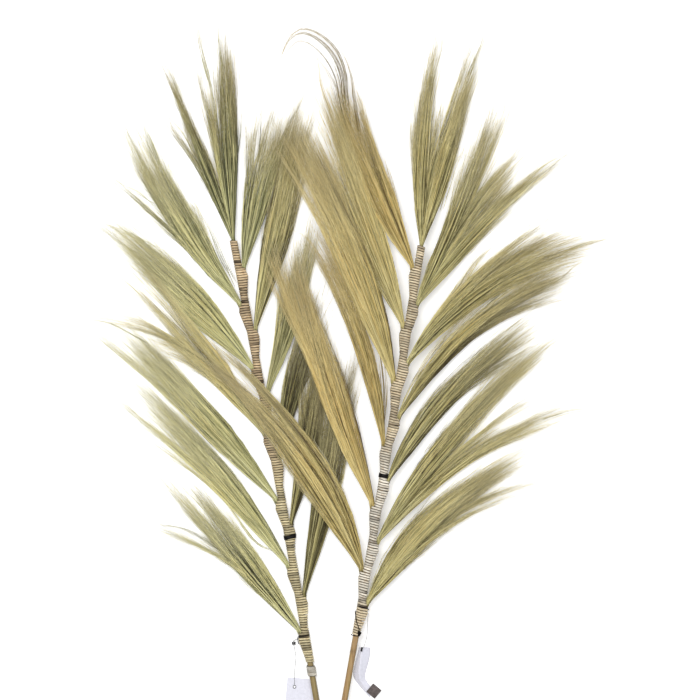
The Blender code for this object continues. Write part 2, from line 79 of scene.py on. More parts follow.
CROSSING = np.array((-0.0385, -0.5755, 0.0))  # where one stick lies on the other
TAIL = 152 * MM  # of each stick, below the crossing
CLEARANCE = 0.3 * MM  # between a stick and what is wound on it
CORD_THICKNESS = 1.9 * MM
MOUTH_OFFSET = 10.5 * MM  # of a stalk from the middle of the stick, where it leaves the cord
SWELL_RADIUS = 3.6 * MM
SWELL_START = 45 * MM  # below a mouth, where the cord starts to swell round a stalk
SWELL_FULL = 10 * MM
SHOULDER = 2.5 * MM
EASED_FROM = 14 * MM
AT_MOUTH = 0.6  # share of the swelling that is left at the mouth
STALK_FREE = 3 * MM
TOP_STALK = 35 * MM
SIDEWAYS = 0.1  # least cosine at which a place counts as on a stick's side
SETTLE = 0.4  # share of a lock over which it comes down to where it rests
FLOOR_LAYER = 10  # mm
UPPER_LAYER = 31  # mm

# side: -1 left, 1 right, 0 on the end. rest: resting height in mm. at: mm up the stick.
# tone: how much lighter than usual its grass is; where a plume lies under another, it is partly
# painted shade. hue: from sage, 0, to golden, 1. fray: the share of a tuft over which its blades
# end. ripe: from pale tips, 0, to ochre ones, 1.
# locks: each has the angle at its root and at its tip, the length, the width and the pointed
# tufts it ends in. Each tuft has the hundredth of the length where it ends, its place to the
# right and its fullness.
Plume = namedtuple("Plume", "name side rest at tone hue fray ripe locks")
Branch = namedtuple(
    "Branch",
    "name lean reach bow foot_radius head_radius foot_height head_height binding_start plumes",
)

# A branch's plumes from its top down: the one on its end, then one on its inner side and one on
# its outer side in turn. A row gives at, tone, hue, fray, ripe and locks.
LEFT_PLUMES = (
    (937, -0.32, 0, 0.2, 0.9, (
        (-5, -3, 380, 36, (
            (82, -40, 2), (102, -32, 1), (63, -30, 2), (72, -24, 3), (60, -18, 3), (78, -8, 3),
            (99, 2, 3), (99, 9, 3), (89, 11, 2), (92, 16, 4), (64, 16, 3), (86, 23, 4),
        )),
        (-20, -24, 314, 24, (
            (78, -33, 1), (106, 0, 3), (95, 4, 1),
        )),
    )),
    (883, -0.2, 0, 0.18, 0.9, (
        (10, 14, 285, 40, (
            (94, -49, 1), (99, -38, 1), (107, -33, 1), (88, -32, 2), (94, -12, 3), (106, -6, 1),
            (92, 2, 3), (98, 10, 3), (88, 15, 3), (97, 22, 4), (83, 30, 2), (90, 30, 3),
            (101, 30, 3),
        )),
    )),
    (823, 0, 0, 0.24, 0.3, (
        (-39, -20, 382, 44, (
            (88, -30, 2), (84, -22, 3), (99, -20, 2), (90, -10, 3), (94, 2, 2), (98, 13, 1),
            (75, 15, 3), (54, 30, 1),
        )),
        (-39, -48, 314, 16, (
            (77, -17, 1), (93, -13, 1), (104, -12, 2), (78, 18, 2), (92, 20, 2),
        )),
    )),
    (777, -0.02, 0.3, 0.16, 0.9, (
        (13, 15, 404, 44, (
            (84, -39, 1), (97, -26, 3), (81, -21, 2), (94, -18, 2), (99, -18, 3), (105, -17, 1),
            (92, -12, 3), (96, -8, 3), (93, 0, 3), (77, 0, 2), (97, 6, 3), (99, 9, 1), (91, 20, 2),
        )),
    )),
    (713, 0.08, 0, 0.24, 0.2, (
        (-40, -54, 364, 54, (
            (77, -21, 2), (84, -16, 2), (88, -8, 2), (90, -6, 1), (104, -4, 2), (85, 2, 2),
            (96, 10, 3), (101, 18, 1), (90, 20, 3), (78, 29, 2),
        )),
    )),
    (667, -0.06, 0.1, 0.18, 0.6, (
        (18, 9, 325, 34, (
            (65, -26, 3), (86, -10, 3), (70, -7, 2), (82, -3, 1), (98, 4, 4), (92, 12, 3),
            (71, 17, 2), (94, 20, 2),
        )),
    )),
    (600, 0.14, 0.4, 0.24, 0.2, (
        (-36, -46, 365, 38, (
            (84, -35, 2), (73, -10, 1), (103, -9, 2), (104, 9, 1), (98, 30, 2), (102, 31, 3),
        )),
        (-30, -84, 340, 24, (
            (77, 11, 2), (110, 12, 1), (87, 13, 2), (102, 27, 1),
        )),
    )),
    # This inner plume and the two inner ones below it lie under the right branch's inner plumes:
    # their low tones are partly darker grass and partly painted shade.
    (555, -0.52, 0.3, 0.18, 0.6, (
        (9, 18, 320, 32, (
            (90, -12, 3), (96, 0, 4), (92, 10, 4), (75, 14, 2), (79, 17, 2), (86, 32, 1),
            (73, 37, 2),
        )),
    )),
    (485, 0.14, 0, 0.18, 0.1, (
        (-40, -46, 385, 42, (
            (118, -31, 2), (100, -23, 1), (94, -18, 1), (107, -15, 1), (108, -2, 2), (100, 0, 2),
            (100, 8, 2), (86, 11, 2), (98, 14, 3), (94, 22, 3), (104, 18, 3), (100, -6, 2),
        )),
    )),
    (442, -0.4, 0.4, 0.16, 0.7, (
        (14, 4, 365, 34, (
            (85, -39, 3), (90, -23, 1), (96, -10, 4), (84, -7, 3), (94, 2, 4), (77, 12, 2),
            (90, 12, 3),
        )),
    )),
    (372, 0.12, 0, 0.24, 0.1, (
        (-35, -48, 433, 40, (
            (82, -45, 1), (102, -35, 1), (94, -34, 2), (90, -25, 1), (49, -18, 1), (52, -15, 1),
            (92, -8, 3), (88, -6, 1), (98, 6, 3), (85, 8, 2), (81, 15, 2), (96, 16, 3),
        )),
    )),
    (319, -0.5, 0.35, 0.18, 0.6, (
        (13, 11, 472, 42, (
            (87, -57, 2), (90, -46, 2), (92, -34, 1), (88, -18, 2), (86, -14, 4), (84, -2, 1),
            (79, -1, 2), (92, 0, 4), (84, 14, 3),
        )),
    )),
    (259, 0, 0, 0.22, 0.2, (
        (-37, -40, 353, 42, (
            (94, -27, 2), (87, -24, 2), (107, -19, 1), (96, -14, 2), (94, 4, 3), (78, 8, 2),
            (86, 10, 1), (90, 16, 2), (77, 24, 1), (69, 24, 1),
        )),
        (-36, -66, 321, 14, (
            (106, -22, 1), (100, -19, 2),
        )),
    )),
)
RIGHT_PLUMES = (
    (926, -0.08, 0.4, 0.22, 0.4, (
        (-2, 14, 383, 28, (
            (59, -26, 1), (66, -20, 1), (83, -14, 2), (100, -6, 2), (84, -2, 3), (88, 5, 1),
            (66, 15, 1), (68, 24, 1),
        )),
        (13, 22, 367, 36, (
            (106, -20, 1), (82, -6, 2), (101, -5, 1), (90, 0, 3), (84, 4, 3), (89, 7, 2),
            (67, 13, 2),
        )),
    )),
    (882, -0.1, 1, 0.2, 0.9, (
        (-26, -17, 371, 42, (
            (84, -18, 3), (90, -12, 4), (84, -8, 1), (96, -4, 3), (89, 7, 3), (71, 18, 1),
            (81, 19, 2), (58, 20, 1), (46, 23, 1), (90, 24, 3),
        )),
    )),
    (821, -0.02, 0.3, 0.16, 0.5, (
        (27, 17, 373, 26, (
            (76, -30, 1), (80, -23, 1), (94, -15, 1), (102, -5, 2), (94, 4, 2), (102, 10, 1),
            (90, 12, 3), (105, 18, 2), (84, 27, 1), (100, 0, 4), (96, -8, 3),
        )),
        (27, 42, 301, 38, (
            (105, -10, 2), (111, -7, 1), (102, 0, 2), (107, 7, 1), (96, 10, 3), (101, 18, 1),
            (92, 24, 3),
        )),
        (36, 53, 345, 28, (
            (90, -8, 2), (90, -7, 1), (99, -3, 2), (112, 4, 1),
        )),
    )),
    (782, 0.12, 0.65, 0.2, 0.6, (
        (-20, -22, 438, 48, (
            (88, -25, 1), (92, -11, 1), (94, 3, 2), (97, 8, 3), (94, 14, 4), (98, 19, 3),
            (88, 22, 3), (108, 26, 1), (95, 27, 3), (92, 32, 2),
        )),
    )),
    (722, -0.05, 0.4, 0.22, 0.6, (
        (37, 78, 407, 32, (
            (90, -22, 3), (98, -10, 3), (92, 2, 3), (103, 5, 2), (97, 9, 2), (98, 18, 3),
            (71, 26, 1), (95, 28, 1), (78, 29, 1), (86, 30, 1),
        )),
        (34, 62, 355, 26, (
            (69, -33, 1), (102, -15, 1), (95, -14, 2), (89, -6, 2), (98, 4, 3), (98, 12, 3),
        )),
    )),
    (689, 0.12, 0.8, 0.16, 0.5, (
        (-16, -31, 492, 50, (
            (97, -33, 1), (100, -12, 3), (96, 0, 3), (98, 9, 3), (92, 14, 3), (94, 20, 2),
            (99, 23, 1), (90, 31, 2), (86, 37, 1),
        )),
    )),
    (629, -0.16, 0.5, 0.16, 0.4, (
        (28, 71, 417, 34, (
            (98, -2, 2), (104, 0, 1), (97, 8, 1), (96, 10, 3), (90, 19, 3), (80, 34, 2),
            (86, 35, 2), (99, 38, 1), (98, 52, 1), (102, 14, 3), (100, 24, 3),
        )),
    )),
    (580, -0.06, 1, 0.18, 0.6, (
        (-7, -31, 390, 26, (
            (102, -13, 2), (96, -12, 2), (98, 0, 3), (108, 8, 2), (101, 10, 1), (109, 15, 1),
        )),
    )),
    (521, -0.18, 0.35, 0.22, 0.4, (
        (28, 58, 410, 34, (
            (96, -6, 2), (96, 4, 3), (94, 6, 2), (86, 12, 2), (92, 16, 3), (94, 23, 2),
            (89, 26, 3), (89, 43, 1), (94, 44, 1), (84, 46, 1),
        )),
    )),
    (476, 0.14, 1, 0.18, 0.5, (
        (-21, -13, 490, 44, (
            (98, -57, 1), (102, -44, 2), (98, -39, 2), (104, -32, 1), (95, -21, 2), (88, -8, 2),
            (96, -6, 3), (92, 4, 3),
        )),
    )),
    (416, 0.04, 0.35, 0.22, 0.4, (
        (33, 52, 475, 38, (
            (80, -26, 1), (87, -18, 2), (96, -12, 2), (94, -8, 3), (87, -6, 2), (102, -5, 1),
            (94, 2, 3),
        )),
        (38, 73, 446, 24, (
            (86, -32, 1), (78, -24, 2), (94, 6, 3), (87, 13, 3), (87, 28, 1), (100, 31, 1),
        )),
    )),
    (366, -0.02, 0.8, 0.2, 0.1, (
        (-21, -51, 441, 56, (
            (98, -10, 2), (102, -8, 3), (107, -4, 3), (111, -4, 1), (102, 24, 2), (110, 26, 1),
        )),
    )),
    (310, -0.06, 0.4, 0.22, 0.3, (
        (30, 64, 390, 50, (
            (94, 0, 3), (88, 4, 1), (83, 7, 2), (102, 8, 1), (95, 8, 2), (90, 14, 3), (79, 15, 3),
            (100, -6, 2), (98, 20, 2),
        )),
        (36, 72, 325, 22, (
            (106, -14, 1), (101, -12, 2), (115, -10, 1), (96, 1, 1), (106, 4, 1),
        )),
    )),
)


def plumes_of(side, inward, inner_rest, rows):
    """A branch's plumes, named and laid by their place in its table."""
    kinds = [("top_plume", 0, FLOOR_LAYER)]
    for number in range(1, len(rows) // 2 + 1):
        kinds.append((f"inner_plume_{number}", inward, inner_rest))
        kinds.append((f"outer_plume_{number}", -inward, FLOOR_LAYER))
    return [Plume(f"{side}_{name}", way, rest, *row) for (name, way, rest), row in zip(kinds, rows)]


LEFT = Branch(
    "left", lean=-9.95, reach=937 * MM, bow=5 * MM, foot_radius=5.3 * MM, head_radius=4.6 * MM,
    foot_height=5.3 * MM, head_height=16 * MM, binding_start=206 * MM,
    plumes=plumes_of("left", 1, FLOOR_LAYER, LEFT_PLUMES),
)
RIGHT = Branch(
    "right", lean=9.73, reach=926 * MM, bow=3 * MM, foot_radius=5.3 * MM, head_radius=5.0 * MM,
    foot_height=14.4 * MM, head_height=38 * MM, binding_start=256 * MM,
    plumes=plumes_of("right", -1, UPPER_LAYER, RIGHT_PLUMES),
)


def mix(low, high, share):
    return low + (high - low) * share


def smooth(share):
    share = np.clip(share, 0.0, 1.0)
    return share * share * (3 - 2 * share)


def blend_of(first, second, share):
    """A colour between two others."""
    return tuple(mix(a, b, share) for a, b in zip(first, second))


def heading(angle):
    """Unit vectors on the plan at angles in degrees from +Y towards +X."""
    turned = np.radians(angle)
    return np.stack([np.sin(turned), np.cos(turned), np.zeros_like(turned)], -1)


def from_crossing(places):
    """Points from rows of millimetres to the right of the crossing, above it and off the floor."""
    return CROSSING + np.asarray(places, float) * MM


def share_of_stick(branch, at):
    return (at + TAIL) / (branch.reach + TAIL)


def stick_radius(branch, at):
    return mix(branch.foot_radius, branch.head_radius, share_of_stick(branch, at))


def stick_angle(branch, at):
    slope = branch.bow * math.pi * np.cos(math.pi * share_of_stick(branch, at))
    return branch.lean + np.degrees(np.arctan(slope / (branch.reach + TAIL)))


def on_stick(branch, at, across=0.0, up=0.0):
    """Points of a branch, `at` up its stick, and so far to the right of its middle and above."""
    at, across, up = np.broadcast_arrays(np.asarray(at, float), across, up)
    share = share_of_stick(branch, at)
    bow = branch.bow * np.sin(math.pi * share)
    point = CROSSING + heading(branch.lean) * at[..., None]
    point = point + heading(branch.lean + 90.0) * bow[..., None]
    point = point + heading(stick_angle(branch, at) + 90) * across[..., None]
    point[..., 2] += mix(branch.foot_height, branch.head_height, share) + up
    return point


def round_stick(branch, at, angle, radius):
    return on_stick(branch, at, radius * np.cos(angle), radius * np.sin(angle))


def swell_at(branch, at, side):
    """How far a binding has swollen to each point's side to take a stalk in, from 0 to 1."""
    swell = np.zeros(np.broadcast(at, side).shape)
    for plume in branch.plumes:
        below = plume.at * MM - at
        rising = (SWELL_START - below) / (SWELL_START - SWELL_FULL)
        easing = AT_MOUTH + (1 - AT_MOUTH) * below / EASED_FROM
        falling = np.where(below < 0, AT_MOUTH * (1 + below / SHOULDER), easing)
        here = np.clip(np.minimum(rising, falling), 0, 1) * (side == plume.side)
        swell = np.maximum(swell, here)
    return swell


def binding_point(branch, at, angle, lift):
    """Points so far outside a binding's surface, at angles round the stick."""
    cosine = np.cos(angle)
    side = np.sign(cosine) * (np.abs(cosine) > SIDEWAYS)
    swell = swell_at(branch, at, side) * (side != 0)
    radius = mix(stick_radius(branch, at) + CLEARANCE + CORD_THICKNESS, SWELL_RADIUS, swell) + lift
    across = side * swell * MOUTH_OFFSET + radius * cosine
    return on_stick(branch, at, across, radius * np.sin(angle))


def on_binding(branch, places, lift):
    """Points off a binding at places given in mm up the stick and degrees round it."""
    at, angle = np.asarray(places, float).T
    return binding_point(branch, at * MM, np.radians(angle), lift)


# ---- What a user may change


def size_of(name, description, default):
    return bpy.props.FloatProperty(
        name=name, description=description, default=default, min=0, unit="LENGTH", precision=5
    )


def colour_of(name, description, default):
    return bpy.props.FloatVectorProperty(
        name=name, description=description, default=default, subtype="COLOR", size=3, min=0, max=1
    )


class RayungSizes(bpy.types.PropertyGroup):
    """How thick and how dense the grass and the cords are."""

    blade_width: size_of("Blade width", "Width of a usual dry blade", 1.05 * MM)
    hair_width: size_of("Hair width", "Width of a usual fine hair", 0.62 * MM)
    blades: bpy.props.FloatProperty(
        name="Blades", description="Blades in each square metre of a lock's outline",
        default=42000, min=0,
    )
    hairs: bpy.props.FloatProperty(
        name="Hairs", description="Hairs in each square metre of a lock's outline",
        default=32000, min=0,
    )
    fullness: bpy.props.FloatProperty(
        name="Fullness", description="Width of the loose grass over the width of its solid",
        default=1.04, min=0.5,
    )
    cord_pitch: size_of("Cord pitch", "Distance between the turns of a binding", 4.3 * MM)
    end_cord_pitch: size_of("End cord pitch", "Distance between the end cord's turns", 6.2 * MM)


# Each part of the grass colour: what it is, and what it is on sage and on golden grass
GRASS_PARTS = {
    "dark": ("deepest strands", (0.05, 0.047, 0.016), (0.085, 0.05, 0.014)),
    "shade": ("duller strands", (0.32, 0.325, 0.15), (0.32, 0.24, 0.08)),
    "usual": ("most strands", (0.72, 0.68, 0.33), (0.69, 0.55, 0.205)),
    "light": ("lightest strands", (0.94, 0.9, 0.52), (0.93, 0.8, 0.4)),
    "root": ("veil over the roots", (0.74, 0.76, 0.74), (0.76, 0.74, 0.68)),
    "warm": ("veil over sun-dried strands", (0.97, 0.87, 0.62), (1.0, 0.8, 0.5)),
    "tip": ("where it thins out", (0.97, 0.93, 0.64), (0.92, 0.82, 0.5)),
}


def grass_colours():
    """A sage and a golden colour for each part of the grass colour."""
    made = {}
    for part, (about, sage, gold) in GRASS_PARTS.items():
        made[f"sage_{part}"] = colour_of(f"Sage, {part}", f"Sage grass: {about}", sage)
        made[f"gold_{part}"] = colour_of(f"Gold, {part}", f"Golden grass: {about}", gold)
    return made


class RayungColours(bpy.types.PropertyGroup):
    """The colours of the grass, the cords, the tags and the stage."""

    __annotations__ = grass_colours()
    ochre: colour_of("Ripe tips", "Tips of the riper plumes", (0.80, 0.66, 0.33))
    tip_end: colour_of("Tip ends", "Last of the finest hairs", (0.78, 0.74, 0.56))
    left_cord: colour_of("Left cord", "Left branch's cord, at its top", (0.63, 0.49, 0.31))
    left_cord_low: colour_of("Left cord, low", "The same cord, lower down", (0.65, 0.57, 0.35))
    right_cord: colour_of("Right cord", "Right branch's cord, at its ends", (0.70, 0.60, 0.42))
    right_cord_low: colour_of("Right cord, low", "The same cord, lower down", (0.84, 0.79, 0.68))
    cord_stain: colour_of("Cord stain", "Darkened turns of both cords", (0.03, 0.018, 0.01))
    end_cord: colour_of("End cord", "Thick cord under the left binding", (0.72, 0.69, 0.60))
    left_stick: colour_of("Left stick", "Bare wood, left branch", (0.29, 0.22, 0.09))
    right_stick: colour_of("Right stick", "Bare wood, right branch", (0.40, 0.26, 0.12))
    cut_wood: colour_of("Cut wood", "Cut ends of the sticks", (0.62, 0.52, 0.34))
    card: colour_of("Card", "Blank swing tags", (0.70, 0.70, 0.78))
    patch: colour_of("Patch", "Square on the folded tag", (0.085, 0.065, 0.060))
    string: colour_of("String", "Strings of the tags", (0.30, 0.30, 0.30))
    black: colour_of("Black", "Threads, tape, seal and clasp", (0.005, 0.004, 0.004))
    floor: colour_of("Floor", "Pale surface under the bundle", (0.94, 0.94, 0.94))


def sizes():
    return bpy.context.scene.rayung_sizes


def colours():
    return bpy.context.scene.rayung_colours


# ---- Materials. A ramp's stops are places and amounts.

TONES = 64  # lanes across the strands' map, from dark to light
TONE_RANGE = (0.02, 0.98)
TUFT_MAPPED = 0.9  # of the map's height, for the length of a tuft
ROOT_MAPPED = 0.04  # where its root lies on the map
TONE_STOPS = (0.0, 0.3, 0.55, 1.0)  # dark, shade, usual and light
STREAK_STRETCH = (140.0, 22.0, 1.0)
STREAK_CONTRAST = 0.6
WARM_STRETCH = (TONES * 1.7, 1.6, 1.0)
WARM_STRANDS = ((0.5, 0.0), (0.68, 0.85))
ROOT_VEIL = ((0.08, 1.0), (0.5, 0.0))
TIP_COLOUR = ((0.46, 0.0), (0.84, 0.56))
TIP_FADE = ((0.84, 0.0), (0.94, 0.55))
CORD_FIBRES = ((0.35, 0.6), (0.6, 0.0))
CORD_DIRT = ((0.5, 0.0), (0.72, 0.55))
CORD_FIBRE_SCALES = (26.0, 7.0)  # along a turn and across it
FIBRE_SHADE = (0.55, 0.47, 0.38)
DIRT_SCALE = 140.0
DIRT_SHADE = (0.62, 0.50, 0.38)
GRAIN_STRETCH = (700.0, 26.0, 700.0)
GRAIN_LINES = ((0.3, 0.75), (0.62, 0.0))
GRAIN_SHADE = (0.50, 0.42, 0.30)
MOTTLE_STOPS = (0.3, 0.7)


class Finish:
    """A material's nodes, with short ways to add and join them."""

    def __init__(self, name, roughness, specular=0.5):
        self.material = bpy.data.materials.new(name)
        self.material.use_nodes = True
        self.tree = self.material.node_tree
        self.shader = self.tree.nodes["Principled BSDF"]
        self.shader.inputs["Roughness"].default_value = roughness
        self.shader.inputs["Specular IOR Level"].default_value = specular

    def add(self, kind, inputs=None, **settings):
        """A node of a kind, with its settings, and with values or other outputs as its inputs."""
        node = self.tree.nodes.new(kind)
        for key, value in settings.items():
            setattr(node, key, value)
        for key, value in (inputs or {}).items():
            if isinstance(value, bpy.types.NodeSocket):
                self.tree.links.new(value, node.inputs[key])
            else:
                node.inputs[key].default_value = value
        return node

    def maths(self, operation, first, second):
        return self.add("ShaderNodeMath", {0: first, 1: second}, operation=operation).outputs[0]

    def noise(self, place, scale, detail, stretch=None):
        if stretch:
            place = self.add("ShaderNodeMapping", {"Vector": place, "Scale": stretch}).outputs[0]
        inputs = {"Vector": place, "Scale": scale, "Detail": detail}
        return self.add("ShaderNodeTexNoise", inputs).outputs["Fac"]

    def ramp(self, factor, stops):
        """A colour ramp through (place, colour) stops."""
        stops = list(stops)
        node = self.add("ShaderNodeValToRGB", {"Fac": factor})
        elements = node.color_ramp.elements
        while len(elements) < len(stops):
            elements.new(0.5)
        for element, (place, value) in zip(elements, stops):
            element.position = place
            element.color = (*value, 1)
        return node.outputs["Color"]

    def grey_ramp(self, factor, stops):
        return self.ramp(factor, [(place, (value,) * 3) for place, value in stops])

    def blend(self, factor, base, colour, kind="MIX"):
        """The colour so far, with three numbers of another mixed in."""
        inputs = {0: factor, 6: base, 7: (*colour, 1)}
        return self.add("ShaderNodeMix", inputs, data_type="RGBA", blend_type=kind).outputs[2]

    def tint(self):
        return self.add("ShaderNodeAttribute", attribute_name=TINT).outputs["Color"]

    def place(self):
        return self.add("ShaderNodeTexCoord").outputs["Object"]

    def strand_place(self):
        return self.add("ShaderNodeUVMap", uv_map=STRAND_MAP).outputs[0]

    def done(self, base, height, strength, distance):
        """Joins the colour and the relief to the shader."""
        self.tree.links.new(base, self.shader.inputs["Base Color"])
        inputs = {"Height": height, "Strength": strength, "Distance": distance}
        bump = self.add("ShaderNodeBump", inputs).outputs[0]
        self.tree.links.new(bump, self.shader.inputs["Normal"])
        return self.material


def grass_finish(name, dark, shade, usual, light, root, warm, tip, tip_end):
    """Dry grass. Its map runs across from dark to light strands, and up from root to tip."""
    finish = Finish(name, roughness=0.5, specular=0.35)
    place = finish.strand_place()
    tone, along = finish.add("ShaderNodeSeparateXYZ", {0: place}).outputs[:2]
    streak = finish.noise(place, 1.0, 3.0, stretch=STREAK_STRETCH)
    streak = finish.maths("MULTIPLY", finish.maths("SUBTRACT", streak, 0.5), STREAK_CONTRAST)
    tone = finish.maths("ADD", tone, streak)
    base = finish.ramp(tone, zip(TONE_STOPS, (dark, shade, usual, light)))
    sunned = finish.noise(place, 1.0, 1.0, stretch=WARM_STRETCH)
    base = finish.blend(finish.grey_ramp(sunned, WARM_STRANDS), base, warm, "MULTIPLY")
    base = finish.blend(finish.grey_ramp(along, ROOT_VEIL), base, root, "MULTIPLY")
    base = finish.blend(finish.grey_ramp(along, TIP_COLOUR), base, tip)
    base = finish.blend(finish.grey_ramp(along, TIP_FADE), base, tip_end)
    return finish.done(base, streak, strength=0.2, distance=0.2 * MM)


def cord_finish(name, turns):
    """A wound cord: its turns' own tints, with shade painted into the gaps between turns, fine
    fibres along it and soft dirt.
    """
    finish = Finish(name, roughness=0.75, specular=0.3)
    place = finish.strand_place()
    along, across = CORD_FIBRE_SCALES
    fibre = finish.noise(place, 1.0, 3.0, stretch=(along, turns * across, 1.0))
    dirt = finish.noise(finish.place(), DIRT_SCALE, 3.0)
    fibres = finish.grey_ramp(fibre, CORD_FIBRES)
    base = finish.blend(fibres, finish.tint(), FIBRE_SHADE, "MULTIPLY")
    base = finish.blend(finish.grey_ramp(dirt, CORD_DIRT), base, DIRT_SHADE, "MULTIPLY")
    return finish.done(base, fibre, strength=0.6, distance=0.25 * MM)


def wood_finish(name):
    """Debarked cane: its own tints, with shade painted on one side of the stick, long grain and a
    dull polish.
    """
    finish = Finish(name, roughness=0.45, specular=0.4)
    grain = finish.noise(finish.place(), 1.0, 5.0, stretch=GRAIN_STRETCH)
    lines = finish.grey_ramp(grain, GRAIN_LINES)
    base = finish.blend(lines, finish.tint(), GRAIN_SHADE, "MULTIPLY")
    return finish.done(base, grain, strength=0.4, distance=0.3 * MM)


def plain_finish(name, base, roughness, scale, variation, strength, specular=0.4):
    """One colour with a fine mottle and a faint relief at the scale given."""
    finish = Finish(name, roughness=roughness, specular=specular)
    grain = finish.noise(finish.place(), scale, 4.0)
    low = blend_of(base, (0, 0, 0), variation)
    high = tuple(min(1.0, value * (1 + variation)) for value in base)
    mottle = finish.ramp(grain, zip(MOTTLE_STOPS, (low, high)))
    return finish.done(mottle, grain, strength, distance=0.1 * MM)


# ---- Pieces

SAME_POINT = 0.0001 * MM
CORD_ROUNDNESS = 3


def add_piece(name, data, material, node):
    """Links a finished piece, which rides with the bundle and stands for a node of the frame."""
    piece = bpy.data.objects.new(name, data)
    bpy.context.scene.collection.objects.link(piece)
    data.materials.clear()
    data.materials.append(material)
    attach(piece, "root")
    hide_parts(node)
    return piece


def refinish(node, material):
    """Gives a node whose shape stays its finished material."""
    piece = bpy.data.objects[node]
    for place in piece.material_slots:
        place.material = material


def mesh_of(bm, name):
    mesh = bpy.data.meshes.new(name)
    bm.to_mesh(mesh)
    bm.free()
    return mesh


def finished(bm, name, flat_above=None):
    """A mesh whose faces point outwards, smooth but for edges sharper than the angle given."""
    bmesh.ops.recalc_face_normals(bm, faces=bm.faces)
    mesh = mesh_of(bm, name)
    if flat_above is None:
        mesh.shade_smooth()
    else:
        mesh.set_sharp_from_angle(angle=math.radians(flat_above))
    return mesh


def rolled(name, rings, tints=None, ring_closed=False, turn_length=None):
    """A tube through rings of points. It closes on itself, or its first and last rings are single
    points. Tints are one colour for each point and the first of each ring again. With turn_length
    rings to a turn, its map has one row for each turn."""
    if ring_closed:
        rings = np.concatenate([rings, rings[:1]])
    rings = np.concatenate([rings, rings[:, :1]], axis=1)
    rows, columns = rings.shape[:2]
    bm = bmesh.new()
    bmesh.ops.create_grid(bm, x_segments=columns - 1, y_segments=rows - 1, size=1.0)
    sheet = mesh_of(bm, name)
    sheet.vertices.foreach_set("co", rings.astype(np.float32).ravel())
    if tints is not None:
        colour = np.ones((rows, columns, 4), np.float32)
        colour[..., :3] = tints
        layer = sheet.attributes.new(TINT, "FLOAT_COLOR", "POINT")
        layer.data.foreach_set("color", colour.ravel())
    if turn_length:
        corner = np.empty(len(sheet.loops), np.int32)
        sheet.loops.foreach_get("vertex_index", corner)
        row, column = np.divmod(corner.reshape(-1, 4), columns)
        turn = row.min(1, keepdims=True) // turn_length
        turns = math.ceil((rows - 1) / turn_length)
        place = [row / turn_length - turn, (turn + column / (columns - 1)) / turns]
        layer = sheet.uv_layers.new(name=STRAND_MAP)
        layer.uv.foreach_set("vector", np.stack(place, -1).astype(np.float32).ravel())
    bm = bmesh.new()
    bm.from_mesh(sheet)
    bpy.data.meshes.remove(sheet)
    bmesh.ops.remove_doubles(bm, verts=bm.verts, dist=SAME_POINT)
    return finished(bm, name)


def smooth_route(points, step):
    """Points about a step apart on a smooth curve through the given ones."""
    padded = [2 * points[0] - points[1], *points, 2 * points[-1] - points[-2]]
    line = [points[0]]
    for a, b, c, d in zip(padded, padded[1:], padded[2:], padded[3:]):
        count = max(1, round(np.linalg.norm(c - b) / step))
        for i in range(1, count + 1):
            t = i / count
            line.append(
                b
                + (c - a) * (t / 2)
                + (2 * a - 5 * b + 4 * c - d) * (t * t / 2)
                + (3 * b - 3 * c + d - a) * (t**3 / 2)
            )
    return np.array(line)


def cord_curve(name, line, diameter, closed=False):
    curve = bpy.data.curves.new(name, "CURVE")
    curve.dimensions = "3D"
    curve.bevel_depth = diameter / 2
    curve.bevel_resolution = CORD_ROUNDNESS
    curve.use_fill_caps = not closed
    spline = curve.splines.new("POLY")
    spline.points.add(len(line) - 1)
    spline.points.foreach_set("co", np.column_stack([line, np.ones(len(line))]).ravel())
    spline.use_cyclic_u = closed
    spline.use_smooth = True
    return curve


# ---- The tags' strings

STRING_DIAMETER = 0.9 * MM
STRING_STEP = 1.6 * MM
LEFT_STRING_START = (250, 210)
LEFT_STRING = (
    (-59.4, 241, 3.2), (-59.5, 236, 2.8), (-59, 231, 2.6), (-57.3, 222, 0.9), (-56, 212, 0.5),
    (-57.5, 195, 0.8), (-58.5, 181, 1.5), (-58.3, 172, 1.5), (-58.3, 165.6, 1.4),
)
RIGHT_STRING_START = (297, 0)
RIGHT_STRING = (
    (66.3, 284, 21), (65.5, 268, 18), (64.5, 250, 16), (61.5, 238, 15.6), (58.8, 230.5, 15.7),
)


def add_string(name, branch, start, places, ends):
    route = on_binding(branch, [start], CLEARANCE + STRING_DIAMETER / 2)
    route = np.concatenate([route, from_crossing(places)])
    line = smooth_route(route, STRING_STEP)
    material = plain_finish(f"{name} twine", tuple(colours().string), roughness=0.8,
                            scale=2400.0, variation=0.4, strength=0.5)
    piece = add_piece(f"{name}_twine", cord_curve(name, line, STRING_DIAMETER), material,
                      name)
    ends = [bpy.data.objects[node] for node in ends]


# ---- Sticks

STICK_STEP = 6 * MM
STICK_SIDES = 20
STICK_JOINTS = (-96, 64, 231, 402, 566, 741)  # mm up each stick
JOINT_SWELL = 0.35 * MM
JOINT_MOST = 0.25 * MM
JOINT_REACH = 5 * MM
JOINT_RING = 1.2 * MM
JOINT_DARKER = 0.45
CUT_STEPS = np.array((0, 0.0, 0.4)) * MM  # from a cut end to where the stick is at its full width
CUT_WIDTHS = (0.0, 0.93)
# Painted shade: one side of each stick is darkened, as if the light fell from the other side.
PAINTED_SHADE_SIDE = math.radians(-12)
PAINTED_SHADE_FROM = 0.2  # cosine of the angle from it at which the painted shade starts
PAINTED_SHADE_OVER = 0.7
PAINTED_SHADE_DEPTH = 0.45
PATCHES = 26  # greenish and pale ones on each stick
PATCH_LONG = (6, 26)  # mm
PATCH_WIDE = (0.4, 1.0)
PATCH_TONE = (-0.5, 0.8)
GREENISH = np.array((0.85, 0.95, 0.62))
PALER = 0.35
WOOD_SEEDS = {"left": 3, "right": 4}


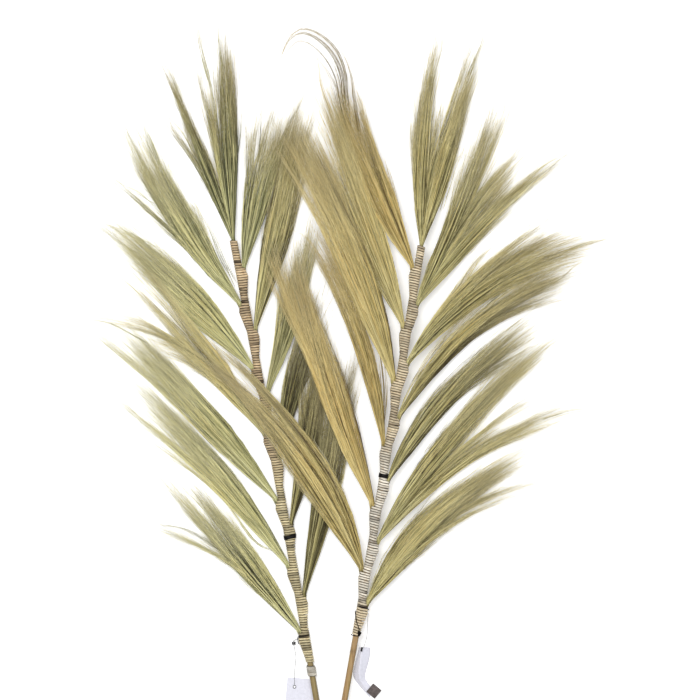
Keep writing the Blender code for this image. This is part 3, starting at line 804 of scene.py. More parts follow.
def stick_tints(branch, at, base, angle):
    """The wood's colour at places up a stick and angles round it, with shade painted on one side.
    """
    rng = np.random.default_rng(WOOD_SEEDS[branch.name])
    tint = np.ones((len(at), len(angle), 3)) * base
    # Painted shade: the wood darkens towards one side of the stick.
    shade = 1 - PAINTED_SHADE_DEPTH * smooth((np.cos(angle - PAINTED_SHADE_SIDE) - PAINTED_SHADE_FROM) / PAINTED_SHADE_OVER)
    tint = tint * shade[None, :, None]
    patch = np.zeros((len(at), len(angle)))
    for _ in range(PATCHES):
        middle, turn = rng.uniform(-TAIL, branch.binding_start), rng.uniform(0, FULL_TURN)
        long, wide = rng.uniform(*PATCH_LONG) * MM, rng.uniform(*PATCH_WIDE)
        up = ((at[:, None] - middle) / long) ** 2
        around = (np.angle(np.exp(1j * (angle[None, :] - turn))) / wide) ** 2
        patch += rng.uniform(*PATCH_TONE) * np.exp(-up - around)
    tint = tint * mix(1.0, GREENISH, np.clip(patch, 0, 1)[..., None])
    tint = tint * (1 + PALER * np.clip(-patch, 0, 1))[..., None]
    for joint in STICK_JOINTS:
        ring = np.exp(-(((at - joint * MM) / JOINT_RING) ** 2))
        tint = tint * (1 - JOINT_DARKER * ring)[:, None, None]
    return tint


def add_stick(branch, base):
    top = branch.reach - TOP_STALK - CLEARANCE
    body = np.linspace(-TAIL + MM, top - MM, int((top + TAIL) / STICK_STEP))
    at = np.concatenate([-TAIL + CUT_STEPS, body, top - CUT_STEPS[::-1]])
    angle = np.arange(STICK_SIDES) * FULL_TURN / STICK_SIDES
    plain = radius = stick_radius(branch, at)
    for joint in STICK_JOINTS:
        radius = radius + JOINT_SWELL * np.exp(-(((at - joint * MM) / JOINT_REACH) ** 2))
    radius = np.minimum(radius, plain + JOINT_MOST)
    radius[:2] *= CUT_WIDTHS
    radius[-2:] *= CUT_WIDTHS[::-1]
    rings = round_stick(branch, at[:, None], angle[None, :], radius[:, None])
    tint = stick_tints(branch, at, base, angle)
    tint[[0, 1, -2, -1]] = tuple(colours().cut_wood)
    tint = np.concatenate([tint, tint[:, :1]], axis=1)
    name = f"{branch.name}_stick"
    add_piece(f"{name}_wood", rolled(name, rings, tint), wood_finish(f"{name} wood"), name)


class RAYUNG_OT_sticks(bpy.types.Operator):
    """Turn the two bare sticks, with their joints and cut ends"""

    bl_idname = "rayung.sticks"
    bl_label = "Sticks"

    def execute(self, context):
        add_stick(LEFT, tuple(colours().left_stick))
        add_stick(RIGHT, tuple(colours().right_stick))
        return {"FINISHED"}


# ---- Wound cords

# Degrees round the stick of a turn's points: six to each side, and two over and two under.
TURN_ANGLES = (-70, -42, -14, 14, 42, 70, 85, 95, 110, 138, 166, 194, 222, 250, 265, 275)
PER_TURN = len(TURN_ANGLES)
CORD_SIDES = 6
CORD_PAINTED_SHADE = np.array((0.1, 1.0, 1.0, 0.1, 0.1, 0.1, 0.1))  # round its section: painted shade, dark on each turn's edges down in the gaps, full on its top
PITCH_JITTER = 0.07  # share of the pitch
HALF_WIDTH = 0.47  # share of the pitch
WIDTH_JITTER = 0.035
PROUD_JITTER = 0.12  # mm
SHADE_JITTER = 0.2
SHADE_RANGE = (0.55, 1.3)
ODD_DARKER = 0.75
ODD_RARENESS = 6
DARK_BAND_DEPTH = 0.9

# Where each cord is stained, and where the end cord is darker at its foot: mm up the stick, and
# half the dark band's width
LEFT_STAINS = ((897, 2), (851, 2), (829, 2.2), (754, 2), (690, 2), (440, 2.2), (254, 3))
RIGHT_STAINS = ((742, 2), (331, 2), (318, 2.2), (307, 2))
# The end cord is darker at its lowest turn, by the bare stick.
END_DARK_FOOT = ((181, 1.6),)
LEFT_CHANGE = (480, 140)
RIGHT_CHANGES = ((300, 30), (530, 90))
END_CORD_START = 181 * MM
END_CORD_THICKNESS = 3.0 * MM


def turn_shares(at):
    """How many turns in each ring of a wound cord is."""
    return np.arange(len(at)) / PER_TURN


def wound(branch, start, end, pitch, thickness, place_at, rng):
    """Rings of points along a cord wound up a stick, and how far up each ring is."""
    turns = int((end - start) / pitch)
    step = (end - start) / turns
    ring = np.arange(turns * PER_TURN + 1)
    share = turn_shares(ring)

    def by_turn(values):
        return np.interp(share, range(turns + 2), values)

    at = start + step * (share * (turns - 1) / turns + 0.5)
    at = at + by_turn(rng.normal(0, PITCH_JITTER * step, turns + 2))
    angle = np.radians(np.array(TURN_ANGLES))[ring % PER_TURN]
    width = step * (HALF_WIDTH + by_turn(rng.normal(0, WIDTH_JITTER, turns + 2)))
    proud = by_turn(rng.uniform(-PROUD_JITTER, PROUD_JITTER, turns + 2)) * MM
    taper = np.sqrt(np.clip(np.minimum(ring, ring[::-1]) / 2, 0, 1))
    around = np.arange(CORD_SIDES) * FULL_TURN / CORD_SIDES
    along = (width * taper)[:, None] * np.cos(around)
    lift = proud[:, None] + thickness / 2 * (taper[:, None] * np.sin(around) - 1)
    centre = place_at(branch, at[:, None], angle[:, None], lift)
    forward = heading(stick_angle(branch, at))[:, None, :]
    return centre + forward * along[..., None], at


def turn_tints(at, rng, base, stains):
    """Tints for a winding's rings: each turn's own shade, stained turns, and the end cord's darker
    foot.
    """
    turns = math.ceil(len(at) / PER_TURN)
    share = turn_shares(at)
    shade = np.interp(share, range(turns + 1), rng.normal(1.0, SHADE_JITTER, turns + 1))
    tint = base * np.clip(shade, *SHADE_RANGE)[:, None]
    odd = rng.uniform(0, 1, turns + 1) ** ODD_RARENESS
    amount = ODD_DARKER * np.interp(share, range(turns + 1), odd)
    for middle, width in stains:
        away = (at - middle * MM) / (width * MM)
        amount = np.maximum(amount, DARK_BAND_DEPTH * np.exp(-(away**2)))
    return mix(tint, np.array(colours().cord_stain), amount[:, None])


def changed(at, place, over):
    """How far a cord's colour has changed, from a place on and over a length, both in mm."""
    return smooth((at / MM - place) / over)


def left_base(at):
    c, low = colours(), 1 - changed(at, *LEFT_CHANGE)
    return mix(np.array(c.left_cord), np.array(c.left_cord_low), low[:, None])


def right_base(at):
    c, low = colours(), changed(at, *RIGHT_CHANGES[0]) * (1 - changed(at, *RIGHT_CHANGES[1]))
    return mix(np.array(c.right_cord), np.array(c.right_cord_low), low[:, None])


def end_base(at):
    return np.array(colours().end_cord) * np.ones((len(at), 1))


def stick_cover(branch, at, angle, lift):
    """Points off the bare stick, where the end cord's outside runs."""
    return round_stick(branch, at, angle, stick_radius(branch, at) + END_CORD_THICKNESS + lift)


Winding = namedtuple(
    "Winding", "name node branch start end pitch thickness place_at base_at stains slot seed"
)
WINDINGS = (
    Winding("left_winding", "left_binding_cord", LEFT, LEFT.binding_start, LEFT.reach - MM,
            "cord_pitch", CORD_THICKNESS, binding_point, left_base, LEFT_STAINS, "tan_cord", 21),
    Winding("right_winding", "right_binding_cord", RIGHT, RIGHT.binding_start, RIGHT.reach - MM,
            "cord_pitch", CORD_THICKNESS, binding_point, right_base, RIGHT_STAINS, "cream_cord",
            22),
    Winding("left_end_winding", "left_end_cord", LEFT, END_CORD_START,
            LEFT.binding_start - CLEARANCE, "end_cord_pitch", END_CORD_THICKNESS, stick_cover,
            end_base, END_DARK_FOOT, "white_cord", 23),
)


def add_winding(w):
    rng = np.random.default_rng(w.seed)
    pitch = getattr(sizes(), w.pitch)
    rings, at = wound(w.branch, w.start, w.end, pitch, w.thickness, w.place_at, rng)
    # The tints carry painted shade on each turn's edges, down in the gaps between turns.
    tints = turn_tints(at, rng, w.base_at(at), w.stains)[:, None, :] * CORD_PAINTED_SHADE[None, :, None]
    mesh = rolled(w.name, rings, tints, turn_length=PER_TURN)
    material = cord_finish(f"{w.name} cord", math.ceil(len(at) / PER_TURN))
    add_piece(w.name, mesh, material, w.node)


class RAYUNG_OT_bindings(bpy.types.Operator):
    """Wind the long cords round both sticks, and the thick one under the left binding"""

    bl_idname = "rayung.bindings"
    bl_label = "Bindings"

    def execute(self, context):
        for winding in WINDINGS:
            add_winding(winding)
        return {"FINISHED"}


# ---- Plumes

BLADE_STATIONS = (0.0, 0.05, 0.25, 0.45, 0.65, 0.84, 1.0)
HAIR_STATIONS = (0.0, 0.3, 0.68, 1.0)
STRAY_PARTS = 13
STRAY_STATIONS = tuple(i / STRAY_PARTS for i in range(STRAY_PARTS + 1))
BLADE_FLATNESS = 0.45

# A lock opens out of its stalk, is fullest, and then gathers into its tufts.
FULLEST_AT = 0.42
OPENING = {"left": 1.25, "right": 1.8}  # how soon it opens
CLOSING = 1.5  # how late it closes
MOST_CLOSED = 1.3
GATHER_FROM = 0.42
TIP_WIDE = 0.7  # of its width that is left at its tip
TIP_THICK = 0.6
STALK_WIDE = 2.3 * MM
STALK_THICK = 1.5 * MM
STALK_INSET = 2.4 * MM
LOCK_THICKNESS = 21 * MM

# Every lock has small tufts of its own besides the ones its table names.
SMALL_TUFTS = 10
SMALL_ASIDE = 1.05
SMALL_END = 0.9  # share of the lock at which the middle ones end
SMALL_END_LESS = 0.22  # towards its edges
SMALL_LENGTHS = (0.55, 1.0)
SMALL_FULLNESS = 0.55
MOST_TUFTS = 40
EDGE = 1.03  # of a lock's half width, where its blades end
EDGE_THICK = 0.1  # least part of the thickness there, squared
DRAWN_IN = 0.85  # how far out a tuft's strands start, as a share of where the tuft is
BAND = (0.16, 0.09)  # how wide they start, and how much wider in fuller tufts
OUTWARD = 0.6  # less puts more of them near the lock's surface
TUFT_HEIGHTS = (-0.4, 0.8)  # in a lock's half thickness

# Blades
LATE_SHARE = 0.35  # of the blades, which start on the way up
LATE_STARTS = (0.02, 0.42)
IN_STALK = -0.03
SHORTEST_BLADE = 0.15
BLADE_TONE = 0.62
BLADE_JITTER = 0.19
STREAKS = 26  # across a lock, each of one tone
STREAK_TONE = 0.04
STREAK_JITTER = 0.2
DARK_AND_SHADED_STREAK = 0.5  # how much darker some are: partly darker grass, partly painted shade between strands
DARK_AND_SHADED_STREAKS = 0.26  # share of them
TUFT_STREAK_JITTER = 0.12
STACK_PAINTED_SHADE = 0.12  # painted light and shade: how much lighter its top is than its middle, and its lowest strands darker
RIGHT_EDGE_PAINTED_SHADE = 0.11  # painted shade: how much darker its right edge is than its middle, as if lit from its left
DEEP_SHARE = 0.08
DEEP_TONES = (0.02, 0.16)
PALE_FROM = 0.94
PALER_TONE = 0.3
BLADE_SPREAD = 2.6 * MM
BLADE_SPLAY = 1.2  # degrees, as the other splays and lifts
BLADE_LIFT = 1.5
BLADE_SWAY = 0.9 * MM
BLADE_WIDTHS = (0.5, 1.4)

# Hairs
LOOSE_SHARE = 0.42  # of the hairs, which leave the tufts' sides
LOOSE_STARTS = (0.08, 0.9)
LOOSE_LATER = 0.75
END_STARTS = (0.4, 0.85)
LOOSE_LENGTHS = (22, 85)  # mm
LOOSE_SPLAYS = (1, 14)
LOOSE_SPLAY_JITTER = 4
HAIR_ENDS = (0.95, 0.05)  # mean and spread, as shares of the tuft's end
SHORTEST_HAIR = 0.05
HAIR_TONE = 0.5
LOOSE_TONE = -0.12
END_TONE = 0.08
HAIR_JITTER = 0.2
HAIR_SPREAD = 4.5 * MM
HAIR_SPLAY = 1.5
HAIR_LIFT = (1.0, 4.0)  # mean and spread
HAIR_SWAY = 0.6 * MM
LOOSE_SPREAD = 12 * MM
HAIR_WIDTHS = (0.5, 1.5)

# Strays
STRAY_STEP = 4 * MM
STRAY_WIDE = 7 * MM
STRAY_STARTS = (0, 0.25)
STRAY_ENDS = (0.72, 0.98)
STRAY_HEIGHTS = (-0.5, 1)
STRAY_SWAY = 0.5 * MM
STRAY_JITTER = 0.1
STRAY_APART = 0.8 * MM
STRAY_WIDTHS = (1.1, 2.1)

BEND_FROM = 0.3
SHORTEST_BEND = 0.05
SWAYS = 1.7  # in a lock's length
SWAY_PHASE = 5  # a strand's tone also sets where its sway starts
SWAY_GROWS = 4
FACING = 9.0  # and which way it faces
TWIST = 1.2
TAPER = (1.15, 0.95)  # a strand's width at its root, and how much of it is gone at its tip
ROOM = 24 * MM  # past the frame's box, for stray ends
LOWEST = 0.15 * MM
HIGHEST = 50 * MM
SEED = 41
SEED_STEP = 100  # from one plume to the next
STRAY_SEED = 50

# Long strands that leave a plume: how many there are, their tone, and their way in millimetres
# to the right of the crossing and above it.
CURL_END = ((-84, 1210), (-87, 1186))
STRAYS = {
    "left_top_plume": (
        (5, -0.2, ((-195, 1159), (-212, 1224), (-222, 1268), (-221, 1309))),
        (3, 0.1, ((-224, 1049), (-246, 1100), (-282, 1137))),
        (4, -0.25, ((-158, 1049), (-151, 1108), (-146, 1168))),
        (4, -0.05, ((-178, 1202), (-185, 1253), (-187, 1299))),
        (4, 0, ((-243, 1117), (-260, 1185), (-290, 1234))),
    ),
    "left_inner_plume_1": (
        (4, -0.3, ((-120, 1040), (-117, 1108), (-112, 1180))),
    ),
    "left_inner_plume_2": (
        (7, -0.35, ((-103, 1049), (-69, 1117), (-46, 1159), (-37, 1188))),
    ),
    "left_outer_plume_1": (
        (4, -0.15, ((-158, 845), (-182, 891), (-202, 942), (-236, 998))),
        (4, -0.2, ((-154, 836), (-175, 884), (-192, 921), (-214, 969))),
        (5, -0.1, ((-278, 1032), (-304, 1088), (-323, 1141))),
        (4, 0.1, ((-287, 981), (-338, 1010), (-382, 1040))),
    ),
    "left_outer_plume_2": (
        (5, 0.15, ((-278, 901), (-355, 938), (-409, 955))),
    ),
    "left_outer_plume_4": (
        (6, 0, ((-304, 743), (-372, 779), (-423, 785))),
        (3, -0.3, ((-253, 675), (-295, 704), (-338, 731))),
    ),
    "left_outer_plume_5": (
        (7, 0.1, ((-91, 394), (-125, 411), (-176, 479), (-214, 525))),
    ),
    "left_outer_plume_6": (
        (9, -0.35, ((-134, 357), (-182, 394), (-219, 420), (-253, 434), (-304, 440), (-324, 445))),
    ),
    "right_top_plume": (
        (6, -0.1, ((169, 1142), (177, 1197), (191, 1248), (191, 1295))),
        (7, -0.1, ((223, 1168), (247, 1224), (262, 1265), (254, 1300))),
        (4, -0.15, ((189, 1049), (192, 1108), (191, 1163))),
    ),
    "right_outer_plume_1": (
        (6, 0.05, ((291, 972), (334, 1020), (376, 1054), (427, 1076))),
        (5, -0.05, ((189, 964), (201, 1006), (215, 1049), (237, 1086))),
    ),
    "right_outer_plume_2": (
        (6, 0.1, ((385, 896), (444, 918), (495, 925))),
        (4, 0.15, ((215, 819), (254, 884), (284, 915))),
        (6, -0.1, ((240, 789), (308, 840), (368, 867), (412, 870))),
    ),
    "right_outer_plume_3": (
        (6, -0.2, ((334, 823), (393, 857), (420, 879), (446, 892))),
    ),
    "right_outer_plume_5": (
        (6, -0.3, ((135, 488), (175, 564), (209, 627), (218, 638))),
        (6, 0, ((359, 615), (410, 631), (458, 632))),
        (4, -0.25, ((215, 581), (266, 658), (311, 721))),
    ),
    "right_outer_plume_6": (
        (5, -0.35, ((113, 403), (158, 471), (199, 515))),
        (4, -0.1, ((240, 479), (291, 530), (347, 561))),
    ),
    "right_inner_plume_1": (
        (12, -0.3, (
            (39, 1074), (26, 1159), (22, 1197), (7, 1232), (-17, 1258), (-44, 1270), (-64, 1260),
            (-78, 1236), *CURL_END,
        )),
        (9, -0.38, (
            (36, 1074), (21, 1155), (15, 1190), (0, 1222), (-22, 1246), (-46, 1258), (-62, 1250),
            (-74, 1232), *CURL_END,
        )),
        (10, -0.2, (
            (42, 1074), (31, 1160), (28, 1200), (14, 1238), (-12, 1264), (-40, 1276), (-60, 1268),
            (-72, 1250), *CURL_END,
        )),
        (8, -0.38, ((34, 1080), (17, 1150), (8, 1184), (-8, 1212), (-28, 1234), (-48, 1246))),
        (8, -0.25, ((56, 1074), (45, 1146), (39, 1193), (28, 1227), (7, 1258))),
        (5, 0.1, ((11, 1117), (-10, 1176), (-17, 1217), (-25, 1248))),
        (8, -0.45, ((118, 908), (92, 945), (63, 1015), (45, 1066))),
    ),
    "right_inner_plume_4": (
        (9, -0.35, ((90, 583), (92, 649), (89, 700), (80, 760), (67, 819))),
        (6, -0.2, ((91, 590), (95, 655), (93, 706), (86, 764))),
        (12, 0, ((65, 734), (23, 833), (-9, 883), (-34, 920), (-51, 932), (-72, 940))),
    ),
    "right_inner_plume_6": (
        (6, -0.45, ((19, 420), (-66, 539), (-139, 629), (-165, 661))),
        (5, 0.1, ((-159, 692), (-193, 743), (-219, 768))),
    ),
}

# What strands are like, with one value for each: the shares of the lock where they start and end,
# their place in its section, the tuft they gather into (metres across and up, and where it ends),
# the degrees they bend sideways and up, their sway, width and tone.
Strands = namedtuple(
    "Strands", "start end across up tuft_across tuft_up tuft_end splay lift sway width tone"
)


def spindle(stations):
    """A closed three-sided strand, pointed at both ends, along Z, with its own flat map."""
    bm = bmesh.new()
    ring = bmesh.ops.create_circle(bm, segments=3, radius=1.0)["verts"]
    bmesh.ops.translate(bm, verts=ring, vec=(0, 0, stations[1]))
    first = edges = list({edge for vertex in ring for edge in vertex.link_edges})
    for station in [*stations[2:], stations[0]]:
        start = first if station == stations[0] else edges
        added = bmesh.ops.extrude_edge_only(bm, edges=start)["geom"]
        corners = [item for item in added if isinstance(item, bmesh.types.BMVert)]
        for corner in corners:
            corner.co.z = station
        edges = [item for item in added if isinstance(item, bmesh.types.BMEdge)]
        edges = [edge for edge in edges if len(edge.link_faces) == 1]
        if station in (stations[0], stations[-1]):
            bmesh.ops.pointmerge(bm, verts=corners, merge_co=(0, 0, station))
    bmesh.ops.recalc_face_normals(bm, faces=bm.faces)
    layer = bm.loops.layers.uv.new(STRAND_MAP)
    for face in bm.faces:
        middle = face.calc_center_median()
        towards = math.atan2(middle.y, middle.x)
        for loop in face.loops:
            away = 0.0
            if loop.vert.co.xy.length > 0.5:
                away = math.atan2(loop.vert.co.y, loop.vert.co.x) - towards
                away = (away + math.pi) % FULL_TURN - math.pi
            loop[layer].uv = ((towards % FULL_TURN + away) / FULL_TURN, loop.vert.co.z)
    return mesh_of(bm, "spindle")


def copies(template, count):
    """One mesh of many copies of a template, each copy's vertices and corners in order."""
    source = bpy.data.objects.new("template", template)
    bpy.context.scene.collection.objects.link(source)
    array = source.modifiers.new("copies", "ARRAY")
    array.count = count
    array.use_relative_offset = False
    evaluated = source.evaluated_get(bpy.context.evaluated_depsgraph_get())
    mesh = bpy.data.meshes.new_from_object(evaluated)
    bpy.data.objects.remove(source)
    return mesh


def joined(meshes, name):
    bm = bmesh.new()
    for mesh in meshes:
        bm.from_mesh(mesh)
        bpy.data.meshes.remove(mesh)
    whole = mesh_of(bm, name)
    whole.shade_smooth()
    return whole


def spread(share, opening, tip):
    """A lock's width along it, as a share of its widest."""
    opened = 1 - (1 - np.clip(share / FULLEST_AT, 0, 1)) ** opening
    closing = np.clip((share - FULLEST_AT) / (1 - FULLEST_AT), 0, MOST_CLOSED)
    return opened * (1 - (1 - tip) * closing**CLOSING)


def plume_root(branch, plume):
    """Where a plume leaves its binding, or the end of its stick."""
    if plume.side:
        across = plume.side * (MOUTH_OFFSET - STALK_INSET)
        return on_stick(branch, plume.at * MM + STALK_FREE, across)
    return on_stick(branch, branch.reach)


def lock_line(branch, plume, lock):
    """A function of shares of a lock's length, which gives its middle and its right there."""
    root = plume_root(branch, plume)
    start, end, reach = lock[:3]

    def line_at(share):
        inside, outside = np.minimum(share, 0), np.maximum(share, 0)
        bend = np.sinc(np.radians(end - start) * outside / FULL_TURN)
        ahead = heading(mix(start, end, outside / 2))
        point = root + ahead * (reach * MM * outside * bend)[..., None]
        along_stick = heading(stick_angle(branch, np.full(share.shape, plume.at * MM)))
        point = point + along_stick * (inside * reach * MM)[..., None]
        point[..., 2] = mix(root[2], plume.rest * MM, smooth(outside / SETTLE))
        return point, heading(mix(start, end, outside) + 90)

    return line_at


def stray_line(places, rest):
    """The same function for a stray's way, and its length."""
    route = smooth_route(from_crossing([(*place, rest) for place in places]), STRAY_STEP)
    steps = np.linalg.norm(np.diff(route, axis=0), axis=1)
    along = np.concatenate([[0], np.cumsum(steps)])
    ahead = np.gradient(route, axis=0)

    def line_at(share):
        at = np.clip(share, 0, 1) * along[-1]
        point = np.stack([np.interp(at, along, route[:, axis]) for axis in range(3)], -1)
        x, y = (np.interp(at, along, ahead[:, axis]) for axis in (0, 1))
        return point, np.stack([y, -x, 0 * x], -1) / np.hypot(x, y)[..., None]

    return line_at, along[-1]


def tufts_of(rng, lock):
    """A lock's tufts: where each ends along it and across it, and its share of the grass."""
    half = lock[3] / 2 * MM * sizes().fullness
    named = np.array(lock[4], float) * (PERCENT, MM, 1)
    aside = rng.uniform(-SMALL_ASIDE, SMALL_ASIDE, SMALL_TUFTS)
    end = (SMALL_END - SMALL_END_LESS * aside**2) * rng.uniform(*SMALL_LENGTHS, SMALL_TUFTS)
    small = np.column_stack([end, aside * half, np.full(SMALL_TUFTS, SMALL_FULLNESS)])
    return np.concatenate([named, small]), half


def in_tufts(rng, lock, count, evenness):
    """For each of many strands: its tuft's number, end, place across and height, and its own
    place in the section and in the tuft."""
    tufts, half = tufts_of(rng, lock)
    odds = tufts[:, 2] + evenness
    of = rng.choice(len(tufts), count, p=odds / odds.sum())
    end, tuft_across, weight = tufts[of].T
    band = rng.normal(0, 1, count) * (BAND[0] + BAND[1] * weight)
    across = np.clip(np.clip(tuft_across / half, -1, 1) * DRAWN_IN + band, -EDGE, EDGE)
    height = rng.uniform(-1, 1, count)
    rounded = np.sqrt(np.clip(1 - across**2, EDGE_THICK, 1))
    up = np.sign(height) * np.abs(height) ** OUTWARD * rounded
    tuft_up = (rng.uniform(*TUFT_HEIGHTS, len(tufts)) * LOCK_THICKNESS / 2)[of]
    return of, end, tuft_across, tuft_up, across, up, band


def blade_tones(rng, of, across, up, tone):
    """Tones of blades in streaks along a lock, with painted shade in part of its darker streaks, on
    its right side and in its lower strands, and with deep and pale strands.
    """
    count = len(of)
    dark = rng.normal(0, STREAK_JITTER, STREAKS), rng.uniform(0, 1, STREAKS) < DARK_AND_SHADED_STREAKS
    streaks = STREAK_TONE + dark[0] - DARK_AND_SHADED_STREAK * dark[1]
    streaks = streaks + rng.normal(0, TUFT_STREAK_JITTER, (MOST_TUFTS, STREAKS))
    streak = np.clip((across / (2 * EDGE) + 0.5) * STREAKS, 0, STREAKS - 1).astype(int)
    tones = BLADE_TONE + tone + rng.normal(0, BLADE_JITTER, count) + streaks[of, streak]
    # Painted light and shade: lighter top strands, darker lower strands and a darker right edge.
    tones = tones + STACK_PAINTED_SHADE * up - RIGHT_EDGE_PAINTED_SHADE * across
    chance = rng.uniform(0, 1, count)
    tones = np.where(chance < DEEP_SHARE, rng.uniform(*DEEP_TONES, count), tones)
    return np.where(chance > PALE_FROM, tones + PALER_TONE, tones)


def blade_strands(rng, lock, tone, fray):
    """Body blades: they start in the stalk or further up, and gather into pointed tufts."""
    count = int(lock[2] * lock[3] * MM * MM * sizes().blades)
    of, tuft_end, tuft_across, tuft_up, across, up, _ = in_tufts(rng, lock, count, 0.0)
    late = rng.uniform(0, 1, count) < LATE_SHARE
    start = np.where(late, rng.uniform(*LATE_STARTS, count), IN_STALK)
    end = tuft_end * (1 - fray * np.sqrt(rng.uniform(0, 1, count)))
    tones = blade_tones(rng, of, across, up, tone)
    return Strands(
        start, np.maximum(end, start + SHORTEST_BLADE), across, up,
        tuft_across + rng.normal(0, BLADE_SPREAD, count), tuft_up, tuft_end,
        rng.normal(0, BLADE_SPLAY, count), rng.normal(0, BLADE_LIFT, count),
        rng.normal(0, BLADE_SWAY, count),
        sizes().blade_width * rng.uniform(*BLADE_WIDTHS, count), tones,
    )


def hair_strands(rng, lock, tone):
    """Fine hairs: some leave the tufts' sides, and the rest end the tufts."""
    count = int(lock[2] * lock[3] * MM * MM * sizes().hairs)
    _, tuft_end, tuft_across, tuft_up, across, up, band = in_tufts(rng, lock, count, 0.5)
    loose = rng.uniform(0, 1, count) < LOOSE_SHARE
    low = rng.uniform(*LOOSE_STARTS, count) ** LOOSE_LATER
    start = tuft_end * np.where(loose, low, rng.uniform(*END_STARTS, count))
    loose_end = start + rng.uniform(*LOOSE_LENGTHS, count) / lock[2]
    end = np.maximum(tuft_end * rng.normal(*HAIR_ENDS, count), start + SHORTEST_HAIR)
    out = np.sign(band) * rng.uniform(*LOOSE_SPLAYS, count)
    out = out + rng.normal(0, LOOSE_SPLAY_JITTER, count)
    tones = HAIR_TONE + tone + np.where(loose, LOOSE_TONE, END_TONE)
    tones = tones + rng.normal(0, HAIR_JITTER, count)
    aside = np.where(loose, band * LOOSE_SPREAD, rng.normal(0, HAIR_SPREAD, count))
    return Strands(
        start, np.where(loose, loose_end, end), across, up, tuft_across + aside, tuft_up, tuft_end,
        np.where(loose, out, rng.normal(0, HAIR_SPLAY, count)), rng.normal(*HAIR_LIFT, count),
        rng.normal(0, HAIR_SWAY, count),
        sizes().hair_width * rng.uniform(*HAIR_WIDTHS, count), tones,
    )


def stray_strands(rng, count, tone):
    """A few strands that keep together along a way of their own, and end one after another."""
    end = np.sort(rng.uniform(*STRAY_ENDS, count))
    end[-1] = 1.0
    across = rng.uniform(-1, 1, count)
    zero = np.zeros(count)
    return Strands(
        rng.uniform(*STRAY_STARTS, count), end, across, rng.uniform(*STRAY_HEIGHTS, count),
        across * STRAY_APART, zero, np.ones(count), zero, zero, rng.normal(0, STRAY_SWAY, count),
        sizes().hair_width * rng.uniform(*STRAY_WIDTHS, count),
        HAIR_TONE + tone + rng.normal(0, STRAY_JITTER, count),
    )


def held_within(values, low, high, room):
    """Values that may pass the limits by no more than the room, and ever more slowly."""
    values = np.where(values > high, high + room * np.tanh((values - high) / room), values)
    return np.where(values < low, low + room * np.tanh((values - low) / room), values)


def grown(line_at, reach, full, opening, strands, template):
    """The mesh of strands along a line, each a copy of the template bent along its own way."""
    count = len(strands.start)
    mesh = copies(template, count)
    corner = np.empty(len(mesh.vertices) * 3)
    mesh.vertices.foreach_get("co", corner)
    corner = corner.reshape(count, -1, 3)
    s = Strands(*(values[:, None] for values in strands))
    along = corner[..., 2]
    share = mix(s.start, s.end, along)
    point, right = line_at(share)
    wide = STALK_WIDE + spread(share, opening, TIP_WIDE) * np.maximum(full / 2 - STALK_WIDE, 0)
    thick = min(LOCK_THICKNESS, full) / 2
    thick = STALK_THICK + spread(share, opening, TIP_THICK) * (thick - STALK_THICK)
    gathered = smooth((share / s.tuft_end - GATHER_FROM) / (1 - GATHER_FROM))
    bend_from = np.maximum(s.start, BEND_FROM)
    bend_over = 2 * np.maximum(s.end - bend_from, SHORTEST_BEND)
    strayed = np.clip(share - bend_from, 0, None) ** 2 / bend_over
    sideways = mix(s.across * wide, s.tuft_across, gathered)
    sideways = sideways + np.tan(np.radians(s.splay)) * reach * strayed
    sway = s.sway * np.sin(FULL_TURN * (share * SWAYS + s.tone * SWAY_PHASE))
    sideways = sideways + sway * smooth(share * SWAY_GROWS)
    point = point + right * sideways[..., None]
    point[..., 2] += mix(s.up * thick, s.tuft_up, gathered)
    point[..., 2] += np.tan(np.radians(s.lift)) * reach * strayed
    half = s.width / 2 * np.clip(TAPER[0] - TAPER[1] * along, 0, 1)
    turn = s.tone * FACING + along * TWIST
    local_x, local_y = corner[..., 0] * half * BLADE_FLATNESS, corner[..., 1] * half
    point = point + right * (local_x * np.sin(turn) + local_y * np.cos(turn))[..., None]
    point[..., 2] += local_x * np.cos(turn) - local_y * np.sin(turn)
    for axis in (0, 1):
        low, high = CAD_BOX[0][axis], CAD_BOX[1][axis]
        point[..., axis] = held_within(point[..., axis], low, high, ROOM)
    point[..., 2] = np.clip(point[..., 2], LOWEST, HIGHEST)
    mesh.vertices.foreach_set("co", point.astype(np.float32).ravel())
    place = np.empty(len(mesh.loops) * 2, np.float32)
    layer = mesh.uv_layers[STRAND_MAP].uv
    layer.foreach_get("vector", place)
    place = place.reshape(count, -1, 2)
    lane = np.floor(np.clip(s.tone, *TONE_RANGE) * TONES)
    place[..., 0] = (lane + place[..., 0]) / TONES
    up_tuft = mix(s.start, s.end, place[..., 1]) / s.tuft_end
    place[..., 1] = np.clip(up_tuft * TUFT_MAPPED + ROOT_MAPPED, 0, 1)
    layer.foreach_set("vector", place.ravel())
    return mesh


def grass_material(plume, name):
    """The plume's own grass: between sage and gold, with tips that may be ripe."""
    c = colours()
    shades = {part: blend_of(getattr(c, f"sage_{part}"), getattr(c, f"gold_{part}"), plume.hue)
              for part in GRASS_PARTS}
    shades["tip"] = blend_of(shades["tip"], c.ochre, plume.ripe)
    return grass_finish(name, *shades.values(), tuple(c.tip_end))


